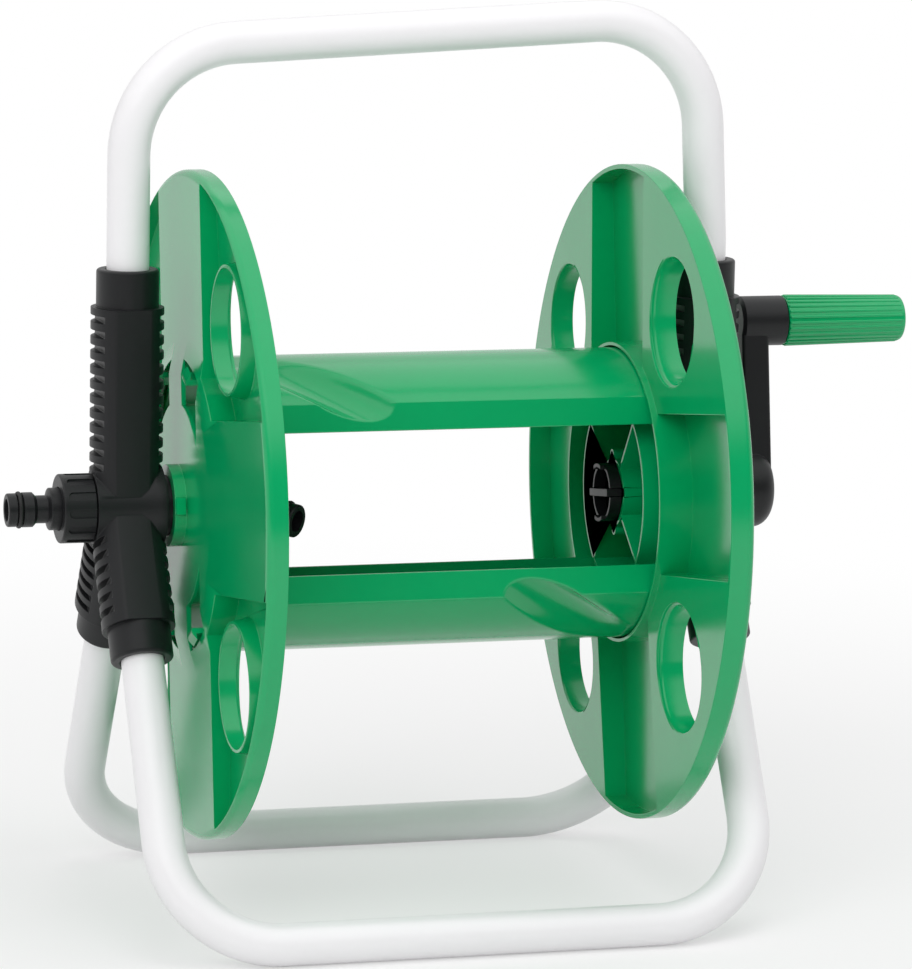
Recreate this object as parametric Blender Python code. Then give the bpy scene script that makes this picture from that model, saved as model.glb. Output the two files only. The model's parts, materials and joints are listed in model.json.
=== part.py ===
"""Freestanding garden hose reel: a bent-tube stand, two moulded brackets, a turning drum and a crank.

The stand's three tube hoops plug into two brackets. The drum is two pocketed flanges held apart by two
barrel plates. It turns on a hollow water shaft at the inlet side and on the crank's own shaft at the other.
Metres, +Z up, +X from the water inlet to the crank. The origin is on the floor, under the middle of the
object's box. The drum rests turned by DRUM_TURN, as it was left after winding, and pushed by DRUM_SHIFT
towards the crank, as far as it goes.
"""

from math import acos, cos, pi, radians, sin, sqrt, tan

import bmesh
import bpy
from mathutils import Matrix, Vector

# Gaps
FIT = 0.0003
CRANK_GAP = 0.0005

# Tube hoops
TUBE_RADIUS = 0.0095
TUBE_WALL = 0.0010
TUBE_SPREAD = 0.1349
TUBE_INSERTION = 0.0350
HANDLE_HEIGHT = 0.2117
HANDLE_CORNER = 0.0500
HANDLE_SKEW = radians(3.0)
LEG_LENGTH = 0.2038
LEG_CORNER = 0.0490
LEG_SPLAY = radians(31.16)
LEG_CROSSING_DROP = 0.0027

# Brackets, measured from where the handle's tube axis meets the hub axis
POST_RADIUS = 0.0164
POST_HALF_DEPTH = 0.0147
POST_LENGTH = 0.0903
POST_COLLAR_LENGTH = 0.0169
LEG_POST_LENGTH = 0.0557
LEG_COLLAR_LENGTH = 0.0147
COLLAR_RADIUS = 0.0140
COLLAR_ROUNDING = 0.0014
FIN_PITCH = 0.0066
FIN_SLOT = 0.0030
FIN_FLOOR = 0.0125
POST_SLOTS = 11
POST_END_FIN = 0.0034
LEG_SLOTS = 6
LEG_END_FIN = 0.0053
HUB_BOSS_RADIUS = 0.0195
HUB_BOSS_INNER_REACH = 0.0152
HUB_BOSS_OUTER_REACH = 0.0157
HUB_BOSS_RIM = 0.0042
HUB_BOSS_TAPER = 0.0070
HUB_NECK_RADIUS = 0.0162
HUB_CLEARANCE = 0.0013
SHOULDER_RADIUS = 0.0160
SHOULDER_THICKNESS = 0.0024

# Bearing shafts
SHAFT_RADIUS = 0.0133
WATER_BORE = 0.0070
SPIGOT_SOCKET_RADIUS = 0.0090
SPIGOT_SOCKET_DEPTH = 0.0280
THREAD_RADIUS = 0.0131
THREAD_LENGTH = 0.0081

# Water inlet
NUT_RADIUS = 0.0155
NUT_END_WALL = 0.0020
NUT_ROUNDING = 0.0006
NUT_POCKETS = 12
NUT_POCKET_WIDTH = 0.0036
NUT_POCKET_DEPTH = 0.0009
NUT_POCKET_STOP = 0.0024
GASKET_THICKNESS = 0.0018
GASKET_HOLE = 0.0060
NOZZLE_FLANGE_THICKNESS = 0.0023
NOZZLE_COLLAR_RADIUS = 0.0095
NOZZLE_COLLAR_STAND = 0.0045
NOZZLE_BORE = 0.0050
TIP_FLARE = 0.0009
TIP_NECK_RADIUS = 0.00625
TIP_NECK_LENGTH = 0.0050
TIP_STEP = 0.0012
TIP_LAND_RADIUS = 0.0078
TIP_LAND_LENGTH = 0.0050
TIP_GROOVE_WIDTH = 0.0027
TIP_END_RADIUS = 0.0075
TIP_END_LENGTH = 0.0033
TIP_END_ROUNDING = 0.0008
SEAL_THICKNESS = 0.0020
TIP_SEAL_RADIUS = 0.0083

# Drum
DRUM_TURN = radians(-8.5)
DRUM_SHIFT = 0.0015
FLANGE_PLANE = 0.0995
FLANGE_RADIUS = 0.1500
FLANGE_WALL = 0.0022
FLANGE_DISH = 0.0025
RIM_DEPTH = 0.0094
RIM_ROUNDING = 0.0035
CENTRE_RISE = 0.0036
CENTRE_RISE_INSET = 0.0088
CENTRE_FOLD_STAND = 0.0072
VERTICAL_CHANNEL_HALF_WIDTH = 0.0380
LEVEL_CHANNEL_HALF_WIDTH = 0.0360
HOLE_RADIUS = 0.0282
HOLE_CIRCLE = 0.1095
HOLE_COLLAR_HEIGHT = 0.0080
HOLE_COLLAR_EDGE = 0.0015
HOLE_TAPER = 0.0010
HOLE_ROUNDING = 0.0015
LIP_WALL = 0.0016
LIP_HEIGHT = 0.0055
RING_RADIUS = 0.0454
RING_WALL = 0.0018
RIB_THICKNESS = 0.0018
SLEEVE_RADIUS = 0.0158
KEYHOLE_REACH = 0.0168
KEYHOLE_RADIUS = 0.0017
KEYHOLE_SLOT = 0.0016
KEYHOLE_WALL = 0.0013
WINDOW_NECK_HALF_WIDTH = 0.0120
WINDOW_GAP = 0.0010
WINDOW_START = 0.0230
FLANGE_BOSS_RADIUS = 0.0185
BOSS_TAB_HALF_HEIGHT = 0.00385
BOSS_TAB_LENGTH = 0.0047
BOSS_TAB_STAND = 0.0012

# Barrel plates
BARREL_RADIUS = 0.0664
BARREL_SEAT_GAP = 0.0008
BARREL_WALL = 0.0022
BARREL_CREASE = radians(48.4)
BARREL_LIP_BOTTOM = 0.0315
BARREL_END_GAP = 0.0036
GROOVE_RADIUS = 0.0200
GROOVE_STAND = 0.0120
GROOVE_PLACE = -0.0420
GROOVE_DIRECTION = Vector((-0.38, 0.70, 0.60)).normalized()
TAB_WIDTH = 0.0080
TAB_THICKNESS = 0.0026
TAB_ANGLE = radians(26)
TAB_HOOK = 0.0030
TAB_HOOK_LENGTH = 0.0020
TAB_ROOT = 0.0060

# Outlet elbow
ELBOW_CORNER = 0.0890
ELBOW_BEND = radians(45)
ELBOW_DROP = radians(18.8)
ELBOW_RADIUS = 0.0086
ELBOW_OVERLAP = 0.0042
ELBOW_BORE = 0.0048
ELBOW_BRANCH = 0.0170
ELBOW_TAIL = 0.0257
ELBOW_DISC_RADIUS = 0.0190
ELBOW_DISC_THICKNESS = 0.0025
ELBOW_PIN_LENGTH = 0.0060
ELBOW_SEAL_RADIUS = 0.0087
ELBOW_SEAL_PLACES = (0.0066, 0.0146)

# Crank and grip
CRANK_THROW = 0.0770
CRANK_SHAFT_BORE = 0.0095
CRANK_SHAFT_END = 0.0846
CRANK_SHAFT_LUG = 0.0020
CRANK_SHAFT_LUG_HALF_WIDTH = 0.0050
CRANK_HUB_RADIUS = 0.0180
CRANK_HUB_STAND = 0.0015
CRANK_BLOCK_RADIUS = 0.0168
CRANK_DISC_RADIUS = 0.0176
ARM_CLEARANCE = 0.0022
ARM_THICKNESS = 0.0130
CRANK_BOSS_RADIUS = 0.0115
CRANK_BOSS_STAND = 0.0090
CRANK_EDGE = 0.0015
GRIP_PIN_RADIUS = 0.0065
GRIP_PIN_LENGTH = 0.0440
GRIP_PIN_BARB = 0.0008
GRIP_PIN_BARB_LENGTH = 0.0030
GRIP_LENGTH = 0.0575
GRIP_RADIUS = 0.0119
GRIP_END_RADIUS = 0.0105
GRIP_FLUTES = 18
GRIP_FLUTE_DEPTH = 0.0008
GRIP_ROUNDING = 0.0025
KEY_PLACE = 0.0889
KEY_WIDTH = 0.0060
KEY_THICKNESS = 0.0040
KEY_HALF_LENGTH = 0.0180

# Facets
MERGE = 0.000002
TUBE_SIDES = 12
BEND_STEPS = 4
POST_SIDES = 14
POST_STEPS = 4
SMALL_SIDES = 12
SHAFT_SIDES = 18
NUT_SIDES = 20
FLANGE_SIDES = 36
HOLE_SIDES = 14
BARREL_STEPS = 12
ARM_END_STEPS = 10
PIN_SIDES = 8
SEAL_SIDES = 5

# Places that follow from the sizes
SHAFT_HOLE = SHAFT_RADIUS + FIT
HOLE_END_RADIUS = HOLE_RADIUS - HOLE_TAPER
BRACKET_FACE = TUBE_SPREAD + HUB_BOSS_OUTER_REACH
FLANGE_BOSS_END = TUBE_SPREAD - HUB_BOSS_INNER_REACH - FIT - DRUM_SHIFT
LIP_RADIUS = BARREL_RADIUS + BARREL_SEAT_GAP + LIP_WALL
CENTRE_RISE_RADIUS = LIP_RADIUS - CENTRE_RISE_INSET
CENTRE_FOLD_RADIUS = LIP_RADIUS + CENTRE_FOLD_STAND
SLEEVE_END = FLANGE_PLANE - LIP_HEIGHT
CENTRE_FACE = FLANGE_PLANE + RIM_DEPTH + CENTRE_RISE
POCKET_FLOOR = CENTRE_FACE - FLANGE_WALL
SHAFT_END = BRACKET_FACE + THREAD_LENGTH
GASKET_FACE = SHAFT_END + FIT
NOZZLE_SEAT = GASKET_FACE + GASKET_THICKNESS + FIT
NUT_SEAT = NOZZLE_SEAT + NOZZLE_FLANGE_THICKNESS + FIT
NUT_END = NUT_SEAT + NUT_END_WALL
TIP_START = NUT_END + NOZZLE_COLLAR_STAND
TIP_LENGTH = (TIP_FLARE + TIP_NECK_LENGTH + TIP_STEP + TIP_LAND_LENGTH + TIP_GROOVE_WIDTH
              + TIP_END_LENGTH + TIP_END_ROUNDING)
NUT_HOLE = THREAD_RADIUS + FIT
ARM_FACE = TUBE_SPREAD + POST_RADIUS + ARM_CLEARANCE
ARM_BACK = ARM_FACE + ARM_THICKNESS
CRANK_BOSS_END = ARM_BACK + CRANK_BOSS_STAND
GRIP_START = CRANK_BOSS_END + CRANK_GAP
INLET_REACH = TIP_START + TIP_LENGTH
CRANK_REACH = DRUM_SHIFT + GRIP_START + GRIP_LENGTH
HUB_HEIGHT = LEG_CROSSING_DROP + LEG_LENGTH * cos(LEG_SPLAY) + TUBE_RADIUS
HUB_PLACE = (INLET_REACH - CRANK_REACH) / 2

GREEN = (0.0, 0.27, 0.085)
BLACK = (0.016, 0.016, 0.018)
RUBBER = (0.010, 0.010, 0.010)
WHITE = (0.80, 0.80, 0.80)


def clear_scene():
    for thing in list(bpy.data.objects):
        bpy.data.objects.remove(thing, do_unlink=True)


def finish(name, colour, roughness, metallic=0.0):
    material = bpy.data.materials.new(name)
    material.use_nodes = True
    shader = material.node_tree.nodes["Principled BSDF"]
    shader.inputs["Base Color"].default_value = (*colour, 1.0)
    shader.inputs["Roughness"].default_value = roughness
    shader.inputs["Metallic"].default_value = metallic
    return material


def green_plastic(name):
    return finish(name, GREEN, 0.28)


def black_plastic(name):
    return finish(name, BLACK, 0.42)


def rubber(name):
    return finish(name, RUBBER, 0.60)


def white_paint(name):
    return finish(name, WHITE, 0.22)


def axis_empty(name, place, parent=None, turn=0.0):
    empty = bpy.data.objects.new(name, None)
    bpy.context.scene.collection.objects.link(empty)
    empty.location = place
    empty.rotation_euler.x = turn
    empty.parent = parent
    return empty


def add_object(name, mesh, parent=None):
    body = bpy.data.objects.new(name, mesh)
    bpy.context.scene.collection.objects.link(body)
    body.parent = parent
    return body


def place_piece(body, name, material, parent, smooth=radians(35)):
    """Names a finished body, gives it its finish and hangs it on its axis."""
    body.name = name
    body.data.name = name
    body.data.materials.clear()
    body.data.materials.append(material)
    body.data.shade_smooth()
    body.data.set_sharp_from_angle(angle=smooth)
    body.parent = parent
    return body


def body_from(shape, name="body"):
    """Turns a bmesh into an object with its faces pointing out."""
    bmesh.ops.remove_doubles(shape, verts=shape.verts, dist=1e-7)
    bmesh.ops.recalc_face_normals(shape, faces=shape.faces)
    mesh = bpy.data.meshes.new(name)
    shape.to_mesh(mesh)
    shape.free()
    return add_object(name, mesh)


def lathe(profile, sides, closed=True):
    """A body turned about X from (x, radius) points. An open profile starts and ends on the axis."""
    shape = bmesh.new()
    points = [shape.verts.new((x, 0.0, radius)) for x, radius in profile]
    pairs = zip(points, points[1:] + points[:1]) if closed else zip(points, points[1:])
    edges = [shape.edges.new(pair) for pair in pairs]
    bmesh.ops.spin(shape, geom=points + edges, cent=(0, 0, 0), axis=(1, 0, 0), angle=2 * pi,
                   steps=sides, use_merge=True)
    return body_from(shape)


def cylinder(start, end, radius, sides):
    return lathe([(start, 0.0), (start, radius), (end, radius), (end, 0.0)], sides, closed=False)


def ring_cutter(start, end, inner, outer, sides):
    return lathe([(start, inner), (start, outer), (end, outer), (end, inner)], sides)


def draw_out(shape, face, vector):
    """Extrudes a face along a vector and gives back its new end face."""
    drawn = bmesh.ops.extrude_face_region(shape, geom=[face])["geom"]
    tips = [item for item in drawn if isinstance(item, bmesh.types.BMVert)]
    bmesh.ops.translate(shape, verts=tips, vec=vector)
    return [item for item in drawn if isinstance(item, bmesh.types.BMFace)][0]


def extrusion(corners, vector):
    shape = bmesh.new()
    draw_out(shape, shape.faces.new([shape.verts.new(corner) for corner in corners]), vector)
    return body_from(shape)


def prism(outline, start, end):
    """An outline of (y, z) points, drawn out along X."""
    return extrusion([(start, y, z) for y, z in outline], (end - start, 0, 0))


def block(low, high):
    corners = [(low[1], low[2]), (high[1], low[2]), (high[1], high[2]), (low[1], high[2])]
    return prism(corners, low[0], high[0])


def arc(radius, start, end, steps, centre=(0.0, 0.0)):
    """Points of an arc about centre, with its angles measured from +Z towards +Y."""
    angles = [start + (end - start) * step / steps for step in range(steps + 1)]
    return [(centre[0] + radius * sin(angle), centre[1] + radius * cos(angle)) for angle in angles]


def transform(body, matrix):
    body.data.transform(matrix)
    if matrix.is_negative:
        body.data.flip_normals()
    return body


def shifted(body, x=0.0, y=0.0, z=0.0):
    return transform(body, Matrix.Translation((x, y, z)))


def turned(body, angle, axis):
    return transform(body, Matrix.Rotation(angle, 4, axis))


def aimed(body, start, direction):
    """Swings a body made along X so that it starts at a point and runs in a direction."""
    swing = Vector((1, 0, 0)).rotation_difference(direction).to_matrix().to_4x4()
    return transform(body, Matrix.Translation(start) @ swing)


def combine(body, operation, *tools):
    """Applies one Boolean to a body with all its tools, and merges faces that lie in one plane."""
    group = bpy.data.collections.new(operation)
    modifier = body.modifiers.new(operation, "BOOLEAN")
    modifier.operation = operation
    modifier.solver = "EXACT"
    modifier.operand_type = "COLLECTION"
    modifier.collection = group
    for tool in tools:
        group.objects.link(tool)
        tool.hide_render = True
        tool.display_type = "WIRE"
    graph = bpy.context.evaluated_depsgraph_get()
    mesh = bpy.data.meshes.new_from_object(body.evaluated_get(graph))
    body.modifiers.clear()
    for tool in tools:
        bpy.data.objects.remove(tool, do_unlink=True)
    bpy.data.collections.remove(group)
    shape = bmesh.new()
    shape.from_mesh(mesh)
    bmesh.ops.remove_doubles(shape, verts=shape.verts, dist=MERGE)
    bmesh.ops.dissolve_degenerate(shape, edges=shape.edges, dist=MERGE)
    bmesh.ops.dissolve_limit(shape, angle_limit=radians(0.3), verts=shape.verts, edges=shape.edges)
    shape.to_mesh(mesh)
    shape.free()
    body.data = mesh
    return body


def join(body, *tools):
    return combine(body, "UNION", *tools)


def cut(body, *tools):
    return combine(body, "DIFFERENCE", *tools)


def keep(body, *tools):
    return combine(body, "INTERSECT", *tools)


def rounded_path(corners, radius):
    """Points of a line through (x, z) corners, with its bends rounded."""
    corners = [Vector(corner) for corner in corners]
    path = [corners[0]]
    for before, corner, after in zip(corners, corners[1:], corners[2:]):
        back = (before - corner).normalized()
        ahead = (after - corner).normalized()
        half = back.angle(ahead) / 2
        centre = corner + (back + ahead).normalized() * radius / sin(half)
        first = corner + back * radius / tan(half) - centre
        last = corner + ahead * radius / tan(half) - centre
        steps = max(1, round(BEND_STEPS * (pi - 2 * half) / (pi / 2)))
        path += [centre + first.slerp(last, step / steps) * radius for step in range(steps + 1)]
    return path + [corners[-1]]


def hoop(corners, corner_radius):
    """A hollow tube that is open at both ends and bent along a line through (x, z) corners."""
    path = rounded_path(corners, corner_radius)
    shape = bmesh.new()
    rings = []
    for radius in (TUBE_RADIUS, TUBE_RADIUS - TUBE_WALL):
        rings.append([hoop_ring(shape, path, index, radius) for index in range(len(path))])
    for tube in rings:
        for near, far in zip(tube, tube[1:]):
            bridge(shape, near, far)
    for end in (0, -1):
        bridge(shape, rings[0][end], rings[1][end])
    return body_from(shape)


def hoop_ring(shape, path, index, radius):
    """One ring of vertices, square to the path and mitred at a bend."""
    here = path[index]
    before = (path[max(index, 1)] - path[max(index, 1) - 1]).normalized()
    nearer = min(index, len(path) - 2)
    after = (path[nearer + 1] - path[nearer]).normalized()
    along = (before + after).normalized()
    across = Vector((-along.y, along.x)) / sqrt((1 + before.dot(after)) / 2)
    ring = []
    for side in range(TUBE_SIDES):
        angle = 2 * pi * side / TUBE_SIDES
        reach = across * radius * cos(angle)
        ring.append(shape.verts.new((here.x + reach.x, radius * sin(angle), here.y + reach.y)))
    return ring


def bridge(shape, near, far):
    for index in range(len(near)):
        following = (index + 1) % len(near)
        shape.faces.new((near[index], near[following], far[following], far[index]))


def leg_matrix(side):
    """Lays a body drawn upwards from the origin along a leg. Side is -1 for the front, 1 for the rear."""
    turn = Matrix.Rotation(pi + side * LEG_SPLAY, 4, "X")
    return Matrix.Translation((0, 0, -LEG_CROSSING_DROP)) @ turn


def handle_corners():
    """The handle stands straight at the inlet side. Its bar climbs, and its crank side leans in."""
    mouth = POST_LENGTH + POST_COLLAR_LENGTH
    start = mouth - TUBE_INSERTION
    bend = mouth + TUBE_RADIUS
    rise = TUBE_SPREAD * tan(HANDLE_SKEW)
    lean = (HANDLE_HEIGHT + rise - bend) * cos(HANDLE_SKEW)
    return [(-TUBE_SPREAD, start), (-TUBE_SPREAD, HANDLE_HEIGHT - rise),
            (TUBE_SPREAD - lean * sin(HANDLE_SKEW), bend + lean * cos(HANDLE_SKEW)),
            (TUBE_SPREAD, bend), (TUBE_SPREAD, start)]


def leg_corners():
    start = LEG_POST_LENGTH + LEG_COLLAR_LENGTH - TUBE_INSERTION
    return [(-TUBE_SPREAD, start), (-TUBE_SPREAD, LEG_LENGTH), (TUBE_SPREAD, LEG_LENGTH),
            (TUBE_SPREAD, start)]


def make_hoops(hub):
    handle = hoop(handle_corners(), HANDLE_CORNER)
    place_piece(handle, "handle_hoop", white_paint("handle_paint"), hub)
    for name, side in (("front_leg_hoop", -1), ("rear_leg_hoop", 1)):
        leg = transform(hoop(leg_corners(), LEG_CORNER), leg_matrix(side))
        place_piece(leg, name, white_paint(name + "_paint"), hub)


def comb(slots, top):
    """The cutter for the slots down one side of a post, from the top one's upper edge."""
    spine = 2 * POST_RADIUS
    outline = [(spine, top)]
    for slot in range(slots):
        high = top - slot * FIN_PITCH
        low = high - FIN_SLOT
        outline += [(POST_RADIUS + FIT, high), (FIN_FLOOR, high),
                    (FIN_FLOOR, low), (POST_RADIUS + FIT, low)]
    outline = [outline[0]] + outline[2:-1] + [(spine, low)]
    return extrusion([(x, -spine, z) for x, z in outline], (0, 2 * spine, 0))


def post(length, collar_length, slots, end_fin):
    """A post up Z with a flat front and back, finned at both sides, and a round collar with a mouth."""
    end = length + collar_length
    flat = acos(POST_HALF_DEPTH / POST_RADIUS)
    outline = arc(POST_RADIUS, flat, pi - flat, POST_STEPS)
    outline += arc(POST_RADIUS, pi + flat, 2 * pi - flat, POST_STEPS)
    body = extrusion([(x, y, 0.0) for x, y in outline], (0, 0, length))
    right = comb(slots, length - end_fin)
    left = transform(comb(slots, length - end_fin), Matrix.Diagonal((-1, 1, 1, 1)))
    cut(body, right, left)
    profile = [(length - FIN_SLOT / 2, 0.0), (length - FIN_SLOT / 2, COLLAR_RADIUS),
               (end - COLLAR_ROUNDING, COLLAR_RADIUS), (end, COLLAR_RADIUS - COLLAR_ROUNDING), (end, 0.0)]
    return join(body, turned(lathe(profile, POST_SIDES, closed=False), -pi / 2, "Y"))


def leg_pair():
    """The front leg's post, cut off at the middle, together with its mirror image."""
    leg = transform(post(LEG_POST_LENGTH, LEG_COLLAR_LENGTH, LEG_SLOTS, LEG_END_FIN), leg_matrix(-1))
    reach = 2 * POST_RADIUS
    cut(leg, block((-reach, 0.0, -LEG_POST_LENGTH), (reach, reach, LEG_POST_LENGTH)))
    shape = bmesh.new()
    shape.from_mesh(leg.data)
    bpy.data.objects.remove(leg)
    middle = [face for face in shape.faces if all(abs(vertex.co.y) < MERGE for vertex in face.verts)]
    bmesh.ops.delete(shape, geom=middle, context="FACES")
    everything = shape.verts[:] + shape.edges[:] + shape.faces[:]
    twin = bmesh.ops.duplicate(shape, geom=everything)["geom"]
    corners = [item for item in twin if isinstance(item, bmesh.types.BMVert)]
    bmesh.ops.scale(shape, vec=(1, -1, 1), verts=corners)
    return body_from(shape)


def bracket_mesh():
    """The moulding that holds a handle end and two leg ends and carries a shaft."""
    body = post(POST_LENGTH, POST_COLLAR_LENGTH, POST_SLOTS, POST_END_FIN)
    rim_end = HUB_BOSS_RIM - HUB_BOSS_INNER_REACH
    hub = [(-HUB_BOSS_INNER_REACH, 0.0), (-HUB_BOSS_INNER_REACH, HUB_BOSS_RADIUS),
           (rim_end, HUB_BOSS_RADIUS), (rim_end + HUB_BOSS_TAPER, HUB_NECK_RADIUS),
           (HUB_BOSS_OUTER_REACH, HUB_NECK_RADIUS), (HUB_BOSS_OUTER_REACH, 0.0)]
    join(body, leg_pair(), lathe(hub, SHAFT_SIDES, closed=False))
    sockets = [socket(POST_LENGTH + POST_COLLAR_LENGTH)]
    for side in (-1, 1):
        sockets.append(transform(socket(LEG_POST_LENGTH + LEG_COLLAR_LENGTH), leg_matrix(side)))
    inner = -2 * HUB_BOSS_INNER_REACH
    outer = 2 * HUB_BOSS_OUTER_REACH
    floor = SHOULDER_THICKNESS + 2 * FIT - HUB_BOSS_INNER_REACH
    cut(body, *sockets,
        cylinder(inner, outer, SHAFT_HOLE, SHAFT_SIDES),
        cylinder(inner, floor, SHOULDER_RADIUS + FIT, SHAFT_SIDES),
        cylinder(inner, -HUB_BOSS_INNER_REACH, HUB_BOSS_RADIUS + HUB_CLEARANCE, SHAFT_SIDES),
        cylinder(HUB_BOSS_OUTER_REACH, outer, HUB_NECK_RADIUS + FIT, SHAFT_SIDES))
    mesh = body.data
    bpy.data.objects.remove(body)
    return mesh


def socket(mouth):
    """The bore that a tube end plugs into."""
    bottom = mouth - TUBE_INSERTION - FIT
    return turned(cylinder(bottom, mouth + TUBE_RADIUS, TUBE_RADIUS + FIT, TUBE_SIDES), -pi / 2, "Y")


def make_brackets(hub):
    mesh = bracket_mesh()
    for name, side, turn in (("crank_bracket", 1, 0.0), ("inlet_bracket", -1, pi)):
        bracket = add_object(name, mesh.copy())
        transform(bracket, Matrix.Translation((side * TUBE_SPREAD, 0, 0)) @ Matrix.Rotation(turn, 4, "Z"))
        place_piece(bracket, name, black_plastic(name + "_plastic"), hub)


def to_inlet(body):
    """Turns a body made on the crank side round to the inlet side."""
    return turned(body, pi, "Z")


def make_water_shaft(hub):
    shoulder = TUBE_SPREAD - HUB_BOSS_INNER_REACH + FIT
    inner_end = SLEEVE_END + 2 * FIT
    profile = [(inner_end, SPIGOT_SOCKET_RADIUS), (inner_end, SHAFT_RADIUS), (shoulder, SHAFT_RADIUS),
               (shoulder, SHOULDER_RADIUS), (shoulder + SHOULDER_THICKNESS, SHOULDER_RADIUS),
               (shoulder + SHOULDER_THICKNESS, SHAFT_RADIUS), (BRACKET_FACE, SHAFT_RADIUS),
               (BRACKET_FACE, THREAD_RADIUS), (SHAFT_END, THREAD_RADIUS), (SHAFT_END, WATER_BORE),
               (inner_end + SPIGOT_SOCKET_DEPTH, WATER_BORE),
               (inner_end + SPIGOT_SOCKET_DEPTH, SPIGOT_SOCKET_RADIUS)]
    place_piece(to_inlet(lathe(profile, SHAFT_SIDES)), "water_shaft", black_plastic("shaft_plastic"), hub)


def make_union_nut(hub):
    start = BRACKET_FACE + FIT
    profile = [(start, NUT_HOLE), (start, NUT_RADIUS), (NUT_END - NUT_ROUNDING, NUT_RADIUS),
               (NUT_END, NUT_RADIUS - NUT_ROUNDING), (NUT_END, NOZZLE_COLLAR_RADIUS + FIT),
               (NUT_SEAT, NOZZLE_COLLAR_RADIUS + FIT), (NUT_SEAT, NUT_HOLE)]
    nut = lathe(profile, NUT_SIDES)
    pockets = []
    for index in range(NUT_POCKETS):
        half = NUT_POCKET_WIDTH / 2
        stop = NUT_END - NUT_POCKET_STOP
        outline = [(start - half, -half), (stop - half, -half), (stop, 0.0), (stop - half, half),
                   (start - half, half)]
        corners = [(x, y, NUT_RADIUS - NUT_POCKET_DEPTH) for x, y in outline]
        pocket = extrusion(corners, (0, 0, 2 * NUT_POCKET_DEPTH))
        pockets.append(turned(pocket, 2 * pi * index / NUT_POCKETS, "X"))
    cut(nut, *pockets)
    place_piece(to_inlet(nut), "union_nut", black_plastic("nut_plastic"), hub)


def tip_profile(start):
    """The outside of a quick-connector tip, from its flare to its rounded end."""
    neck = start + TIP_FLARE
    step = neck + TIP_NECK_LENGTH
    land = step + TIP_STEP
    groove = land + TIP_LAND_LENGTH
    end = groove + TIP_GROOVE_WIDTH
    floor = TIP_SEAL_RADIUS - SEAL_THICKNESS - FIT
    return [(neck, TIP_NECK_RADIUS), (step, TIP_NECK_RADIUS), (land, TIP_LAND_RADIUS),
            (groove, TIP_LAND_RADIUS), (groove, floor), (end, floor), (end, TIP_END_RADIUS),
            (end + TIP_END_LENGTH, TIP_END_RADIUS),
            (end + TIP_END_LENGTH + TIP_END_ROUNDING, TIP_END_RADIUS - TIP_END_ROUNDING)]


def tip_seal_place(start):
    return start + TIP_FLARE + TIP_NECK_LENGTH + TIP_STEP + TIP_LAND_LENGTH + TIP_GROOVE_WIDTH / 2


def seal_ring(place, outer):
    """A rubber ring of round section."""
    middle = outer - SEAL_THICKNESS / 2
    profile = [(place + y, middle + z) for y, z in arc(SEAL_THICKNESS / 2, 0.0, 2 * pi, SEAL_SIDES)[:-1]]
    return lathe(profile, SMALL_SIDES)


def make_inlet(hub):
    gasket = ring_cutter(GASKET_FACE, GASKET_FACE + GASKET_THICKNESS, GASKET_HOLE, NUT_HOLE - FIT,
                         SMALL_SIDES)
    place_piece(to_inlet(gasket), "union_gasket", rubber("gasket_rubber"), hub)
    flange_end = NOZZLE_SEAT + NOZZLE_FLANGE_THICKNESS
    profile = [(NOZZLE_SEAT, NOZZLE_BORE), (NOZZLE_SEAT, NUT_HOLE - FIT), (flange_end, NUT_HOLE - FIT),
               (flange_end, NOZZLE_COLLAR_RADIUS), (TIP_START, NOZZLE_COLLAR_RADIUS)]
    profile += tip_profile(TIP_START) + [(INLET_REACH, NOZZLE_BORE)]
    place_piece(to_inlet(lathe(profile, SMALL_SIDES)), "inlet_nozzle", black_plastic("nozzle_plastic"), hub)
    ring = seal_ring(tip_seal_place(TIP_START), TIP_SEAL_RADIUS)
    place_piece(to_inlet(ring), "nozzle_seal", rubber("nozzle_seal_rubber"), hub)


def flange_envelope():
    """The flange's outside, turned in one piece before its pockets are cut."""
    face = FLANGE_PLANE + RIM_DEPTH
    rounding = [(face - RIM_ROUNDING, FLANGE_RADIUS),
                (face - RIM_ROUNDING * (1 - sin(pi / 4)), FLANGE_RADIUS - RIM_ROUNDING * (1 - cos(pi / 4))),
                (face, FLANGE_RADIUS - RIM_ROUNDING)]
    profile = [(SLEEVE_END, 0.0), (SLEEVE_END, LIP_RADIUS), (FLANGE_PLANE - FLANGE_DISH, LIP_RADIUS),
               (FLANGE_PLANE, FLANGE_RADIUS)]
    profile += rounding
    profile += [(face, CENTRE_FOLD_RADIUS), (CENTRE_FACE, CENTRE_RISE_RADIUS),
                (CENTRE_FACE, FLANGE_BOSS_RADIUS), (FLANGE_BOSS_END, FLANGE_BOSS_RADIUS),
                (FLANGE_BOSS_END, 0.0)]
    return lathe(profile, FLANGE_SIDES, closed=False)


def quadrants():
    return [(y, z) for y in (-1, 1) for z in (-1, 1)]


def hole_centre(y, z):
    reach = HOLE_CIRCLE / sqrt(2)
    return y * reach, z * reach


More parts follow.
